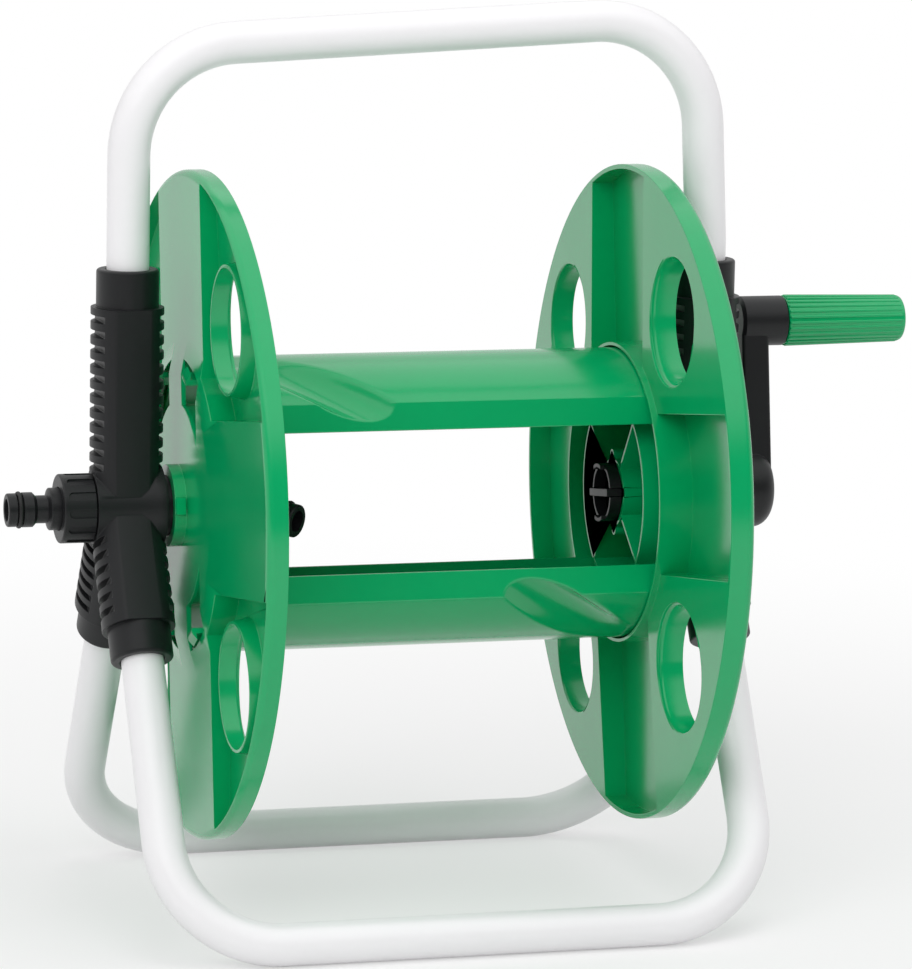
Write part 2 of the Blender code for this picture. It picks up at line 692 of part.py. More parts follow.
def quadrant_pockets():
    """The four recesses between the arms of the cross, open to the outside, round the hole collars."""
    inner = LIP_RADIUS - LIP_WALL + FLANGE_WALL
    outer = FLANGE_RADIUS - FLANGE_WALL
    above = CENTRE_FACE + FLANGE_WALL
    pockets = lathe([(FLANGE_PLANE - FLANGE_DISH + FLANGE_WALL, inner), (FLANGE_PLANE + FLANGE_WALL, outer),
                     (above, outer), (above, inner)], FLANGE_SIDES)
    side = VERTICAL_CHANNEL_HALF_WIDTH + FLANGE_WALL
    level = LEVEL_CHANNEL_HALF_WIDTH + FLANGE_WALL
    cross = cross_prism(side, level, SLEEVE_END, above + FLANGE_WALL)
    collars = []
    for y, z in quadrants():
        end = FLANGE_PLANE + HOLE_COLLAR_HEIGHT
        profile = [(SLEEVE_END, 0.0), (SLEEVE_END, HOLE_RADIUS + FLANGE_WALL),
                   (FLANGE_PLANE, HOLE_RADIUS + FLANGE_WALL), (end, HOLE_END_RADIUS + HOLE_COLLAR_EDGE),
                   (end, 0.0)]
        collar = lathe(profile, HOLE_SIDES, closed=False)
        collars.append(shifted(collar, 0.0, *hole_centre(y, z)))
    return cut(pockets, cross, *collars)


def cross_prism(side, level, start, end):
    """A cross of half widths side, upright, and level, lengthwise, that reaches past the rim."""
    far = FLANGE_RADIUS + FLANGE_WALL
    outline = [(side, level), (side, far), (-side, far), (-side, level), (-far, level), (-far, -level),
               (-side, -level), (-side, -far), (side, -far), (side, -level), (far, -level), (far, level)]
    return prism(outline, start, end)


def cross_channels():
    """The cross-shaped channel on the drum side, behind the arms."""
    channels = ring_cutter(SLEEVE_END - FLANGE_WALL, FLANGE_PLANE + RIM_DEPTH - FLANGE_WALL, LIP_RADIUS,
                           FLANGE_RADIUS - FLANGE_WALL, FLANGE_SIDES)
    cross = cross_prism(VERTICAL_CHANNEL_HALF_WIDTH, LEVEL_CHANNEL_HALF_WIDTH,
                        SLEEVE_END - 2 * FLANGE_WALL, CENTRE_FACE)
    return keep(channels, cross)


def hub_pocket():
    """The recess between sleeve and ring, round four slanting ribs and the sleeve's two bulges."""
    start = SLEEVE_END - FLANGE_WALL
    pocket = ring_cutter(start, POCKET_FLOOR, SLEEVE_RADIUS, RING_RADIUS - RING_WALL, FLANGE_SIDES // 2)
    kept = []
    for angle in (pi / 4, -pi / 4):
        rib = block((start - FIT, -RING_RADIUS, -RIB_THICKNESS / 2),
                    (POCKET_FLOOR + FLANGE_WALL, RING_RADIUS, RIB_THICKNESS / 2))
        kept.append(turned(rib, angle, "X"))
    for z in (-1, 1):
        bulge = cylinder(start - FIT, POCKET_FLOOR + FLANGE_WALL, KEYHOLE_RADIUS + KEYHOLE_WALL,
                         PIN_SIDES)
        kept.append(shifted(bulge, z=z * KEYHOLE_REACH))
    return cut(pocket, *kept)


def windows():
    """Four openings either side of the upright arm's neck, for the barrel plates' hooks."""
    ring = ring_cutter(FLANGE_PLANE, CENTRE_FACE + FLANGE_WALL, RING_RADIUS + WINDOW_GAP,
                       LIP_RADIUS - LIP_WALL - WINDOW_GAP, FLANGE_SIDES)
    low = (FLANGE_PLANE - FLANGE_WALL, WINDOW_NECK_HALF_WIDTH, WINDOW_START)
    high = (CENTRE_FACE + 2 * FLANGE_WALL, VERTICAL_CHANNEL_HALF_WIDTH, LIP_RADIUS)
    regions = block(low, high)
    others = []
    for y, z in quadrants()[:-1]:
        region = block(low, high)
        others.append(transform(region, Matrix.Diagonal((1, y, z, 1))))
    join(regions, *others)
    return keep(ring, regions)


def hole_cutter(y, z):
    """A finger hole with a rounded edge on the drum side."""
    start = SLEEVE_END - FLANGE_WALL
    edge = FLANGE_PLANE + HOLE_ROUNDING / 2
    profile = [(start, 0.0), (start, HOLE_RADIUS + HOLE_ROUNDING),
               (edge - HOLE_ROUNDING, HOLE_RADIUS + HOLE_ROUNDING),
               (edge, HOLE_RADIUS), (FLANGE_PLANE + HOLE_COLLAR_HEIGHT, HOLE_END_RADIUS),
               (CENTRE_FACE, HOLE_END_RADIUS), (CENTRE_FACE, 0.0)]
    return shifted(lathe(profile, HOLE_SIDES, closed=False), 0.0, *hole_centre(y, z))


def flange_mesh():
    """One moulding serves both ends of the drum."""
    body = flange_envelope()
    barrel_pocket = ring_cutter(SLEEVE_END - FLANGE_WALL, POCKET_FLOOR, RING_RADIUS, LIP_RADIUS - LIP_WALL,
                                FLANGE_SIDES)
    cut(body, quadrant_pockets(), cross_channels(), barrel_pocket, hub_pocket())
    bore = cylinder(SLEEVE_END - FLANGE_WALL, FLANGE_BOSS_END + FLANGE_WALL, SHAFT_HOLE, SHAFT_SIDES)
    keyholes = []
    for z in (-1, 1):
        hole = cylinder(SLEEVE_END - FLANGE_WALL, POCKET_FLOOR, KEYHOLE_RADIUS, PIN_SIDES)
        keyholes.append(shifted(hole, z=z * KEYHOLE_REACH))
    slot = block((SLEEVE_END - FLANGE_WALL, -KEYHOLE_SLOT / 2, -KEYHOLE_REACH),
                 (POCKET_FLOOR, KEYHOLE_SLOT / 2, KEYHOLE_REACH))
    key_notch = block((SLEEVE_END - FLANGE_WALL, -RING_RADIUS / 2, -KEY_THICKNESS / 2 - FIT),
                      (KEY_PLACE + KEY_WIDTH + FIT, RING_RADIUS / 2, KEY_THICKNESS / 2 + FIT))
    holes = [hole_cutter(y, z) for y, z in quadrants()]
    cut(body, windows(), *holes, bore, *keyholes, slot, key_notch)
    for side in (-1, 1):
        near = FLANGE_BOSS_RADIUS - 2 * BOSS_TAB_STAND
        tab = block((FLANGE_BOSS_END - BOSS_TAB_LENGTH, near, -BOSS_TAB_HALF_HEIGHT),
                    (FLANGE_BOSS_END - FIT, FLANGE_BOSS_RADIUS + BOSS_TAB_STAND, BOSS_TAB_HALF_HEIGHT))
        join(body, transform(tab, Matrix.Diagonal((1, side, 1, 1))))
    mesh = body.data
    bpy.data.objects.remove(body)
    return mesh


def make_flanges(drum):
    mesh = flange_mesh()
    for name, turn in (("crank_flange", 0.0), ("inlet_flange", pi)):
        flange = turned(add_object(name, mesh.copy()), turn, "Z")
        place_piece(flange, name, green_plastic(name + "_plastic"), drum)


def barrel_outline(filled):
    """The barrel plate's section: an arc with upright lips, hollow or filled."""
    lip = BARREL_RADIUS * sin(BARREL_CREASE)
    outer = [(-lip, BARREL_LIP_BOTTOM)] + arc(BARREL_RADIUS, -BARREL_CREASE, BARREL_CREASE, BARREL_STEPS)
    outer += [(lip, BARREL_LIP_BOTTOM)]
    if filled:
        return outer
    inside = lip - BARREL_WALL
    inner_radius = BARREL_RADIUS - BARREL_WALL
    crease_height = sqrt(inner_radius ** 2 - inside ** 2)
    inner_angle = pi / 2 - Vector((inside, crease_height)).angle(Vector((1, 0)))
    inner = [(inside, BARREL_LIP_BOTTOM)] + arc(inner_radius, inner_angle, -inner_angle, BARREL_STEPS)
    return outer + inner + [(-inside, BARREL_LIP_BOTTOM)]


def hose_groove(radius):
    """The slanting cylinder that the hose lies in where it climbs onto the barrel."""
    crease = Vector((GROOVE_PLACE, -BARREL_RADIUS * sin(BARREL_CREASE), BARREL_RADIUS * cos(BARREL_CREASE)))
    outward = Vector((1, 0, 0)).cross(GROOVE_DIRECTION).normalized()
    centre = crease + outward * GROOVE_STAND
    reach = 2 * BARREL_RADIUS
    return aimed(cylinder(-reach, reach, radius, HOLE_SIDES), centre, GROOVE_DIRECTION)


def barrel_tabs(end):
    """Two hooks on each end of a plate, which snap through the flange's windows."""
    outer = BARREL_RADIUS - BARREL_WALL
    catch = CENTRE_FACE + FIT
    start = end - TAB_ROOT
    inner = outer - TAB_THICKNESS
    tip = catch + TAB_HOOK_LENGTH
    hook = outer + TAB_HOOK
    profile = [(start, inner), (tip, inner), (tip, outer), (catch, hook), (catch, outer), (end, outer),
               (end, outer + BARREL_WALL / 2), (start, outer + BARREL_WALL / 2)]
    tabs = []
    for direction in (-1, 1):
        for side in (-1, 1):
            tab = extrusion([(x, -TAB_WIDTH / 2, z) for x, z in profile], (0, TAB_WIDTH, 0))
            turned(tab, side * TAB_ANGLE, "X")
            tabs.append(turned(tab, 0.0 if direction == 1 else pi, "Z"))
    return tabs


def barrel_plate_mesh():
    end = POCKET_FLOOR - BARREL_END_GAP
    body = prism(barrel_outline(filled=False), -end, end)
    trough = keep(prism(barrel_outline(filled=True), -end, end), hose_groove(GROOVE_RADIUS + BARREL_WALL))
    join(body, trough, *barrel_tabs(end))
    cut(body, hose_groove(GROOVE_RADIUS))
    mesh = body.data
    bpy.data.objects.remove(body)
    return mesh


def make_barrel(drum):
    mesh = barrel_plate_mesh()
    for name, turn in (("upper_barrel_plate", 0.0), ("lower_barrel_plate", pi)):
        plate = turned(add_object(name, mesh.copy()), turn, "Y")
        place_piece(plate, name, green_plastic(name + "_plastic"), drum)


def elbow_branch():
    """Where the outlet branch starts and its direction, on the inlet side."""
    spread = sin(ELBOW_BEND)
    direction = Vector((cos(ELBOW_BEND), -spread * cos(ELBOW_DROP), -spread * sin(ELBOW_DROP)))
    return Vector((-ELBOW_CORNER, 0, 0)), direction


def make_elbow(drum):
    """The elbow turns with the drum: its tail spins in the water shaft, its tip takes the hose."""
    seat = SLEEVE_END - FIT
    tail_end = seat + ELBOW_TAIL
    past = ELBOW_OVERLAP
    floor = ELBOW_SEAL_RADIUS - SEAL_THICKNESS - FIT
    profile = [(ELBOW_CORNER - past, 0.0), (ELBOW_CORNER - past, ELBOW_RADIUS),
               (seat - ELBOW_DISC_THICKNESS, ELBOW_RADIUS), (seat - ELBOW_DISC_THICKNESS, ELBOW_DISC_RADIUS),
               (seat, ELBOW_DISC_RADIUS), (seat, ELBOW_RADIUS)]
    for place in ELBOW_SEAL_PLACES:
        groove = seat + place
        half = TIP_GROOVE_WIDTH / 2
        profile += [(groove - half, ELBOW_RADIUS), (groove - half, floor), (groove + half, floor),
                    (groove + half, ELBOW_RADIUS)]
    profile += [(tail_end, ELBOW_RADIUS), (tail_end, 0.0)]
    body = to_inlet(lathe(profile, SMALL_SIDES, closed=False))
    start, direction = elbow_branch()
    tip = [(-past, 0.0), (-past, ELBOW_RADIUS), (ELBOW_BRANCH, ELBOW_RADIUS)]
    tip += tip_profile(ELBOW_BRANCH) + [(ELBOW_BRANCH + TIP_LENGTH, 0.0)]
    branch = turned(lathe(tip, SMALL_SIDES, closed=False), pi / SMALL_SIDES / 2, "X")
    aimed(branch, start, direction)
    pins = []
    for z in (-1, 1):
        pin = cylinder(seat - ELBOW_DISC_THICKNESS / 2, seat + ELBOW_PIN_LENGTH, KEYHOLE_RADIUS - FIT,
                       PIN_SIDES)
        pins.append(to_inlet(shifted(pin, z=z * KEYHOLE_REACH)))
    join(body, branch, *pins)
    tail_bore = to_inlet(cylinder(ELBOW_CORNER - past / 2, tail_end + FIT, ELBOW_BORE, SMALL_SIDES))
    branch_bore = cylinder(-past / 2, ELBOW_BRANCH + TIP_LENGTH + FIT, ELBOW_BORE, SMALL_SIDES)
    turned(branch_bore, pi / SMALL_SIDES / 2, "X")
    cut(body, tail_bore, aimed(branch_bore, start, direction))
    place_piece(body, "outlet_elbow", black_plastic("elbow_plastic"), drum)
    for name, place in zip(("elbow_inner_seal", "elbow_outer_seal"), ELBOW_SEAL_PLACES):
        ring = to_inlet(seal_ring(seat + place, ELBOW_SEAL_RADIUS))
        place_piece(ring, name, rubber(name + "_rubber"), drum)
    outlet = aimed(seal_ring(tip_seal_place(ELBOW_BRANCH), TIP_SEAL_RADIUS), start, direction)
    place_piece(outlet, "outlet_seal", rubber("outlet_seal_rubber"), drum)


def arm_outline():
    """Two circles of the crank, about the shaft and about the grip, with their tangents."""
    lean = (CRANK_HUB_RADIUS - CRANK_BOSS_RADIUS) / CRANK_THROW
    tangent = acos(lean)
    top = arc(CRANK_BOSS_RADIUS, -tangent, tangent, ARM_END_STEPS, (0.0, CRANK_THROW))
    bottom = arc(CRANK_HUB_RADIUS, tangent, 2 * pi - tangent, ARM_END_STEPS)
    return top + bottom


def bevel_ends(body, width):
    """Rounds the edges of the two end faces of a body drawn along X."""
    ends = [body.data.vertices[0].co.x, max(vertex.co.x for vertex in body.data.vertices)]
    shape = bmesh.new()
    shape.from_mesh(body.data)
    edges = [edge for edge in shape.edges
             if any(all(abs(vertex.co.x - end) < 1e-6 for vertex in edge.verts) for end in ends)]
    bmesh.ops.bevel(shape, geom=edges, offset=width, segments=1, profile=0.5, affect="EDGES")
    shape.to_mesh(body.data)
    shape.free()
    return body


def make_crank(drum):
    """Shaft, hub block, arm and grip pin in one moulding."""
    hub_start = BRACKET_FACE + CRANK_GAP
    hub_end = ARM_BACK + CRANK_HUB_STAND
    bore_end = hub_end - FLANGE_WALL
    disc_start = ARM_BACK - CRANK_EDGE / 2
    shaft = [(CRANK_SHAFT_END, 0.0), (CRANK_SHAFT_END, SHAFT_RADIUS), (hub_start, SHAFT_RADIUS),
             (hub_start, CRANK_BLOCK_RADIUS), (disc_start, CRANK_BLOCK_RADIUS),
             (disc_start, CRANK_DISC_RADIUS), (hub_end, CRANK_DISC_RADIUS), (hub_end, 0.0)]
    body = lathe(shaft, SHAFT_SIDES, closed=False)
    arm = bevel_ends(prism(arm_outline(), ARM_FACE, ARM_BACK), CRANK_EDGE)
    pin_end = CRANK_BOSS_END + GRIP_PIN_LENGTH
    barb = pin_end - GRIP_PIN_BARB_LENGTH
    pin = [(ARM_FACE + CRANK_EDGE, 0.0), (ARM_FACE + CRANK_EDGE, CRANK_BOSS_RADIUS - CRANK_EDGE),
           (CRANK_BOSS_END - CRANK_EDGE / 2, CRANK_BOSS_RADIUS - CRANK_EDGE / 4),
           (CRANK_BOSS_END, CRANK_BOSS_RADIUS - CRANK_EDGE), (CRANK_BOSS_END, GRIP_PIN_RADIUS),
           (barb, GRIP_PIN_RADIUS), (barb, GRIP_PIN_RADIUS + GRIP_PIN_BARB),
           (pin_end, GRIP_PIN_RADIUS - GRIP_PIN_BARB), (pin_end, 0.0)]
    join(body, arm, shifted(lathe(pin, POST_SIDES, closed=False), z=CRANK_THROW))
    bore = cylinder(CRANK_SHAFT_END - CRANK_HUB_RADIUS, bore_end, CRANK_SHAFT_BORE, SHAFT_SIDES)
    key_hole = block((KEY_PLACE - FIT, -CRANK_HUB_RADIUS, -KEY_THICKNESS / 2 - FIT),
                     (KEY_PLACE + KEY_WIDTH + FIT, CRANK_HUB_RADIUS, KEY_THICKNESS / 2 + FIT))
    ends = []
    for side in (-1, 1):
        low = (CRANK_SHAFT_END - CRANK_SHAFT_LUG, CRANK_SHAFT_LUG_HALF_WIDTH, -CRANK_HUB_RADIUS)
        high = (CRANK_SHAFT_END + CRANK_SHAFT_LUG, CRANK_HUB_RADIUS, CRANK_HUB_RADIUS)
        ends.append(transform(block(low, high), Matrix.Diagonal((1, side, 1, 1))))
    cut(body, bore, key_hole, *ends)
    place_piece(body, "crank_arm", black_plastic("crank_plastic"), drum)
    key = block((KEY_PLACE, -KEY_HALF_LENGTH, -KEY_THICKNESS / 2),
                (KEY_PLACE + KEY_WIDTH, KEY_HALF_LENGTH, KEY_THICKNESS / 2))
    place_piece(key, "shaft_key", black_plastic("key_plastic"), drum)


def make_grip(axis):
    """A fluted handle with a blind hole that snaps over the pin's barb."""
    points = 2 * GRIP_FLUTES
    stations = ((0.0, GRIP_RADIUS - GRIP_FLUTE_DEPTH, 0.0),
                (GRIP_FLUTE_DEPTH, GRIP_RADIUS, GRIP_FLUTE_DEPTH),
                (GRIP_LENGTH - GRIP_ROUNDING, GRIP_END_RADIUS, GRIP_FLUTE_DEPTH),
                (GRIP_LENGTH - GRIP_ROUNDING * (1 - sin(pi / 4)),
                 GRIP_END_RADIUS - GRIP_ROUNDING * (1 - cos(pi / 4)), 0.0),
                (GRIP_LENGTH, GRIP_END_RADIUS - GRIP_ROUNDING, 0.0))
    shape = bmesh.new()
    rings = []
    for x, radius, flute in stations:
        ring = []
        for index in range(points):
            reach = radius - flute * (index % 2)
            angle = 2 * pi * index / points
            ring.append(shape.verts.new((x, reach * sin(angle), reach * cos(angle))))
        rings.append(ring)
    for near, far in zip(rings, rings[1:]):
        bridge(shape, near, far)
    shape.faces.new(rings[0])
    shape.faces.new(rings[-1])
    body = body_from(shape)
    pin_end = GRIP_PIN_LENGTH - CRANK_GAP
    barb = pin_end - GRIP_PIN_BARB_LENGTH - FIT
    bore_radius = GRIP_PIN_RADIUS + FIT
    catch = bore_radius + GRIP_PIN_BARB
    hole = [(-GRIP_LENGTH, 0.0), (-GRIP_LENGTH, bore_radius), (barb, bore_radius), (barb, catch),
            (pin_end + GRIP_PIN_BARB, catch), (pin_end + GRIP_PIN_BARB, 0.0)]
    cut(body, lathe(hole, SMALL_SIDES, closed=False))
    place_piece(body, "grip", green_plastic("grip_plastic"), axis)


def main():
    clear_scene()
    hub = axis_empty("hub_axis", (HUB_PLACE, 0, HUB_HEIGHT))
    drum = axis_empty("drum_axis", (DRUM_SHIFT, 0, 0), hub, DRUM_TURN)
    grip_axis = axis_empty("grip_axis", (GRIP_START, 0, CRANK_THROW), drum)
    make_hoops(hub)
    make_brackets(hub)
    make_water_shaft(hub)
    make_union_nut(hub)
    make_inlet(hub)
    make_flanges(drum)
    make_barrel(drum)
    make_elbow(drum)
    make_crank(drum)
    make_grip(grip_axis)


main()
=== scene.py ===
"""The hose reel's looks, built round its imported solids.

Each piece is drawn again with round tubes, softened edges, fins, flutes and skins, in the place of the
solid that it stands for. Metres, in the frame of the solids. "Outward" on the drum is away from its middle.
"""

import json
from math import acos, asin, cos, pi, radians, sin, sqrt, tan

import bmesh
import bpy
from mathutils import Matrix, Vector


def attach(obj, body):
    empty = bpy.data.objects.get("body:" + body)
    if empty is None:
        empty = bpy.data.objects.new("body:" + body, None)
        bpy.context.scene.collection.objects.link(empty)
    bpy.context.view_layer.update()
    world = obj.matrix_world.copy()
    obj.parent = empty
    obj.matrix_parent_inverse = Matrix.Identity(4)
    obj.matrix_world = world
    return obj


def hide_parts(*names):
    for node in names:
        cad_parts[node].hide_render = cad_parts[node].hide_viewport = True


# The photograph's frame, in pixels, and the lens that it was taken with, in millimetres
IMAGE_WIDTH = 912
IMAGE_HEIGHT = 969
LENS = 197.9

# The camera, from the hub
CAMERA_PLACE = Vector((-0.6529, -2.2889, 0.4142))
CAMERA_AZIMUTH = radians(-16.35)
CAMERA_ELEVATION = radians(9.72)
CAMERA_ROLL = radians(1.13)

# Gaps
FIT = 0.0003
CRANK_GAP = 0.0005

# Tube hoops
TUBE_RADIUS = 0.0095
TUBE_WALL = 0.0010
TUBE_SPREAD = 0.1349
TUBE_INSERTION = 0.0350
HANDLE_HEIGHT = 0.2117
HANDLE_CORNER = 0.0500
HANDLE_SKEW = radians(3.0)
LEG_LENGTH = 0.2038
LEG_CORNER = 0.0490
LEG_SPLAY = radians(31.16)
LEG_CROSSING_DROP = 0.0027

# Brackets, measured from where the handle's tube axis meets the hub axis
POST_RADIUS = 0.0164
POST_HALF_DEPTH = 0.0147
POST_LENGTH = 0.0903
POST_COLLAR_LENGTH = 0.0169
LEG_POST_LENGTH = 0.0557
LEG_COLLAR_LENGTH = 0.0147
COLLAR_RADIUS = 0.0140
COLLAR_ROUNDING = 0.0014
FIN_PITCH = 0.0066
FIN_SLOT = 0.0030
FIN_FLOOR = 0.0125
POST_SLOTS = 11
POST_END_FIN = 0.0034
LEG_SLOTS = 6
LEG_END_FIN = 0.0053
HUB_BOSS_RADIUS = 0.0195
HUB_BOSS_INNER_REACH = 0.0152
HUB_BOSS_OUTER_REACH = 0.0157
HUB_BOSS_RIM = 0.0042
HUB_BOSS_TAPER = 0.0070
HUB_NECK_RADIUS = 0.0162
HUB_CLEARANCE = 0.0013
SHOULDER_RADIUS = 0.0160
SHOULDER_THICKNESS = 0.0024

# Bearing shafts
SHAFT_RADIUS = 0.0133
WATER_BORE = 0.0070
SPIGOT_SOCKET_RADIUS = 0.0090
SPIGOT_SOCKET_DEPTH = 0.0280
THREAD_RADIUS = 0.0131
THREAD_LENGTH = 0.0081
THREAD_PITCH = 0.0018
THREAD_DEPTH = 0.0009

# Water inlet
NUT_RADIUS = 0.0155
NUT_END_WALL = 0.0020
NUT_ROUNDING = 0.0008
NUT_POCKETS = 12
NUT_POCKET_WIDTH = 0.0036
NUT_POCKET_DEPTH = 0.0009
NUT_POCKET_STOP = 0.0024
GASKET_THICKNESS = 0.0018
GASKET_HOLE = 0.0060
NOZZLE_FLANGE_THICKNESS = 0.0023
NOZZLE_COLLAR_RADIUS = 0.0095
NOZZLE_COLLAR_STAND = 0.0045
NOZZLE_BORE = 0.0050
TIP_FLARE = 0.0009
TIP_NECK_RADIUS = 0.00625
TIP_NECK_LENGTH = 0.0050
TIP_STEP = 0.0012
TIP_LAND_RADIUS = 0.0078
TIP_LAND_LENGTH = 0.0050
TIP_GROOVE_WIDTH = 0.0027
TIP_END_RADIUS = 0.0075
TIP_END_LENGTH = 0.0033
TIP_END_ROUNDING = 0.0008
SEAL_THICKNESS = 0.0020
TIP_SEAL_RADIUS = 0.0083

# Drum
DRUM_TURN = radians(-8.5)
DRUM_SHIFT = 0.0015
FLANGE_PLANE = 0.0995
FLANGE_RADIUS = 0.1500
FLANGE_WALL = 0.0022
FLANGE_DISH = 0.0025
RIM_DEPTH = 0.0094
CRANK_SIDE_DEEPER = 0.0020
CHANNEL_WALL = 0.0014
RIM_ROUNDING = 0.0035
CENTRE_RISE = 0.0036
CENTRE_RISE_INSET = 0.0088
CENTRE_FOLD_STAND = 0.0072
VERTICAL_CHANNEL_HALF_WIDTH = 0.0380
LEVEL_CHANNEL_HALF_WIDTH = 0.0360
HOLE_RADIUS = 0.0282
HOLE_CIRCLE = 0.1095
HOLE_COLLAR_HEIGHT = 0.0080
HOLE_COLLAR_EDGE = 0.0015
HOLE_TAPER = 0.0010
HOLE_ROUNDING = 0.0015
LIP_WALL = 0.0016
LIP_HEIGHT = 0.0055
RING_RADIUS = 0.0454
RING_WALL = 0.0018
RIB_THICKNESS = 0.0018
SLEEVE_RADIUS = 0.0158
KEYHOLE_REACH = 0.0168
KEYHOLE_RADIUS = 0.0017
KEYHOLE_SLOT = 0.0020
KEYHOLE_MOUTH = 0.0062
KEYHOLE_WALL = 0.0013
WINDOW_NECK_HALF_WIDTH = 0.0120
WINDOW_GAP = 0.0010
WINDOW_START = 0.0230
FLANGE_BOSS_RADIUS = 0.0185
BOSS_TAB_HALF_HEIGHT = 0.00385
BOSS_TAB_LENGTH = 0.0047
BOSS_TAB_STAND = 0.0012

# Barrel plates
BARREL_RADIUS = 0.0664
BARREL_SEAT_GAP = 0.0008
BARREL_WALL = 0.0022
BARREL_CREASE = radians(48.4)
BARREL_LIP_BOTTOM = 0.0315
BARREL_END_GAP = 0.0036
CREASE_ROUNDING = 0.0004
GROOVE_RADIUS = 0.0147
GROOVE_STAND = 0.0086
GROOVE_PLACE = -0.0420
GROOVE_DIRECTION = Vector((-0.749, 0.503, 0.431)).normalized()
GROOVE_EDGE = 0.0006
GROOVE_FADE = 0.0045
GROOVE_REACH = 0.0240
TAB_WIDTH = 0.0080
TAB_THICKNESS = 0.0026
TAB_ANGLE = radians(26)
TAB_HOOK = 0.0030
TAB_HOOK_LENGTH = 0.0020
TAB_ROOT = 0.0060

# Outlet elbow
ELBOW_CORNER = 0.0890
ELBOW_BEND = radians(45)
ELBOW_DROP = radians(18.8)
ELBOW_RADIUS = 0.0086
ELBOW_OVERLAP = 0.0042
ELBOW_BORE = 0.0048
ELBOW_BRANCH = 0.0170
ELBOW_TAIL = 0.0257
ELBOW_DISC_RADIUS = 0.0190
ELBOW_DISC_THICKNESS = 0.0025
ELBOW_PIN_LENGTH = 0.0060
ELBOW_SEAL_RADIUS = 0.0087
ELBOW_SEAL_PLACES = (0.0066, 0.0146)

# Crank and grip
CRANK_THROW = 0.0770
CRANK_SHAFT_BORE = 0.0116
CRANK_SHAFT_END = 0.0846
CRANK_SHAFT_LUG = 0.0020
CRANK_SHAFT_LUG_HALF_WIDTH = 0.0050
CRANK_HUB_RADIUS = 0.0180
CRANK_HUB_DOME = 0.0080
CRANK_BLOCK_RADIUS = 0.0168
ARM_CLEARANCE = 0.0022
ARM_THICKNESS = 0.0130
ARM_HALF_WIDTH = 0.0090
CRANK_BOSS_RADIUS = 0.0115
CRANK_BOSS_STAND = 0.0090
CRANK_EDGE = 0.0015
GRIP_PIN_RADIUS = 0.0065
GRIP_PIN_LENGTH = 0.0440
GRIP_PIN_BARB = 0.0008
GRIP_PIN_BARB_LENGTH = 0.0030
GRIP_LENGTH = 0.0575
GRIP_RADIUS = 0.0119
GRIP_END_RADIUS = 0.0105
GRIP_RIBS = 26
GRIP_RIB_RADIUS = 0.0008
GRIP_ROUNDING = 0.0016
KEY_PLACE = 0.0850
KEY_END = 0.0925
KEY_THICKNESS = 0.0034
KEY_HALF_LENGTH = 0.0131

# Facets and softened edges
MERGE = 0.000002
TUBE_SIDES = 64
BEND_STEPS = 24
POST_STEPS = 16
ROUND_SIDES = 64
FLANGE_SIDES = 144
BARREL_STEPS = 96
LIP_STEPS = 24
GROOVE_STEPS = 112
PLAIN_STEPS = 12
PIN_SIDES = 24
SEAL_SIDES = 16
FINE_EDGE = 0.00022
EDGE = 0.00035
SOFT_EDGE = 0.0008
EDGE_STEPS = 2

# Places that follow from the sizes
SHAFT_HOLE = SHAFT_RADIUS + FIT
HOLE_END_RADIUS = HOLE_RADIUS - HOLE_TAPER
BRACKET_FACE = TUBE_SPREAD + HUB_BOSS_OUTER_REACH
FLANGE_BOSS_END = TUBE_SPREAD - HUB_BOSS_INNER_REACH - FIT - DRUM_SHIFT
LIP_RADIUS = BARREL_RADIUS + BARREL_SEAT_GAP + LIP_WALL
CENTRE_RISE_RADIUS = LIP_RADIUS - CENTRE_RISE_INSET
CENTRE_FOLD_RADIUS = LIP_RADIUS + CENTRE_FOLD_STAND
SLEEVE_END = FLANGE_PLANE - LIP_HEIGHT
RIM_FACE = FLANGE_PLANE + RIM_DEPTH
CENTRE_FACE = RIM_FACE + CENTRE_RISE
POCKET_FLOOR = CENTRE_FACE - FLANGE_WALL
SHAFT_END = BRACKET_FACE + THREAD_LENGTH
GASKET_FACE = SHAFT_END + FIT
NOZZLE_SEAT = GASKET_FACE + GASKET_THICKNESS + FIT
NUT_SEAT = NOZZLE_SEAT + NOZZLE_FLANGE_THICKNESS + FIT
NUT_END = NUT_SEAT + NUT_END_WALL
TIP_START = NUT_END + NOZZLE_COLLAR_STAND
TIP_LENGTH = (TIP_FLARE + TIP_NECK_LENGTH + TIP_STEP + TIP_LAND_LENGTH + TIP_GROOVE_WIDTH
              + TIP_END_LENGTH + TIP_END_ROUNDING)
NUT_HOLE = THREAD_RADIUS + FIT
ARM_FACE = TUBE_SPREAD + POST_RADIUS + ARM_CLEARANCE
ARM_BACK = ARM_FACE + ARM_THICKNESS
CRANK_BOSS_END = ARM_BACK + CRANK_BOSS_STAND
GRIP_START = CRANK_BOSS_END + CRANK_GAP
INLET_REACH = TIP_START + TIP_LENGTH


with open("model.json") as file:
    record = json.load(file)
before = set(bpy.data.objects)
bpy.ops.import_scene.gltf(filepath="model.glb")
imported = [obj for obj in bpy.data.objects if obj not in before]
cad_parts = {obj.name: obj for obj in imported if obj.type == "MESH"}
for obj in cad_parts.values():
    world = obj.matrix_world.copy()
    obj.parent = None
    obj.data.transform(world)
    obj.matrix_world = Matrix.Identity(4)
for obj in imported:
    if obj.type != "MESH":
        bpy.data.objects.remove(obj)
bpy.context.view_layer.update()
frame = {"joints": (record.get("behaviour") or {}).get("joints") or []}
HUB = Vector(frame["joints"][0]["pos_m"])
AT_HUB = Matrix.Translation(HUB)
AT_DRUM = AT_HUB @ Matrix.Translation((DRUM_SHIFT, 0, 0)) @ Matrix.Rotation(DRUM_TURN, 4, "X")
AT_GRIP = AT_DRUM @ Matrix.Translation((GRIP_START, 0, CRANK_THROW))


# Camera, lamps and floor

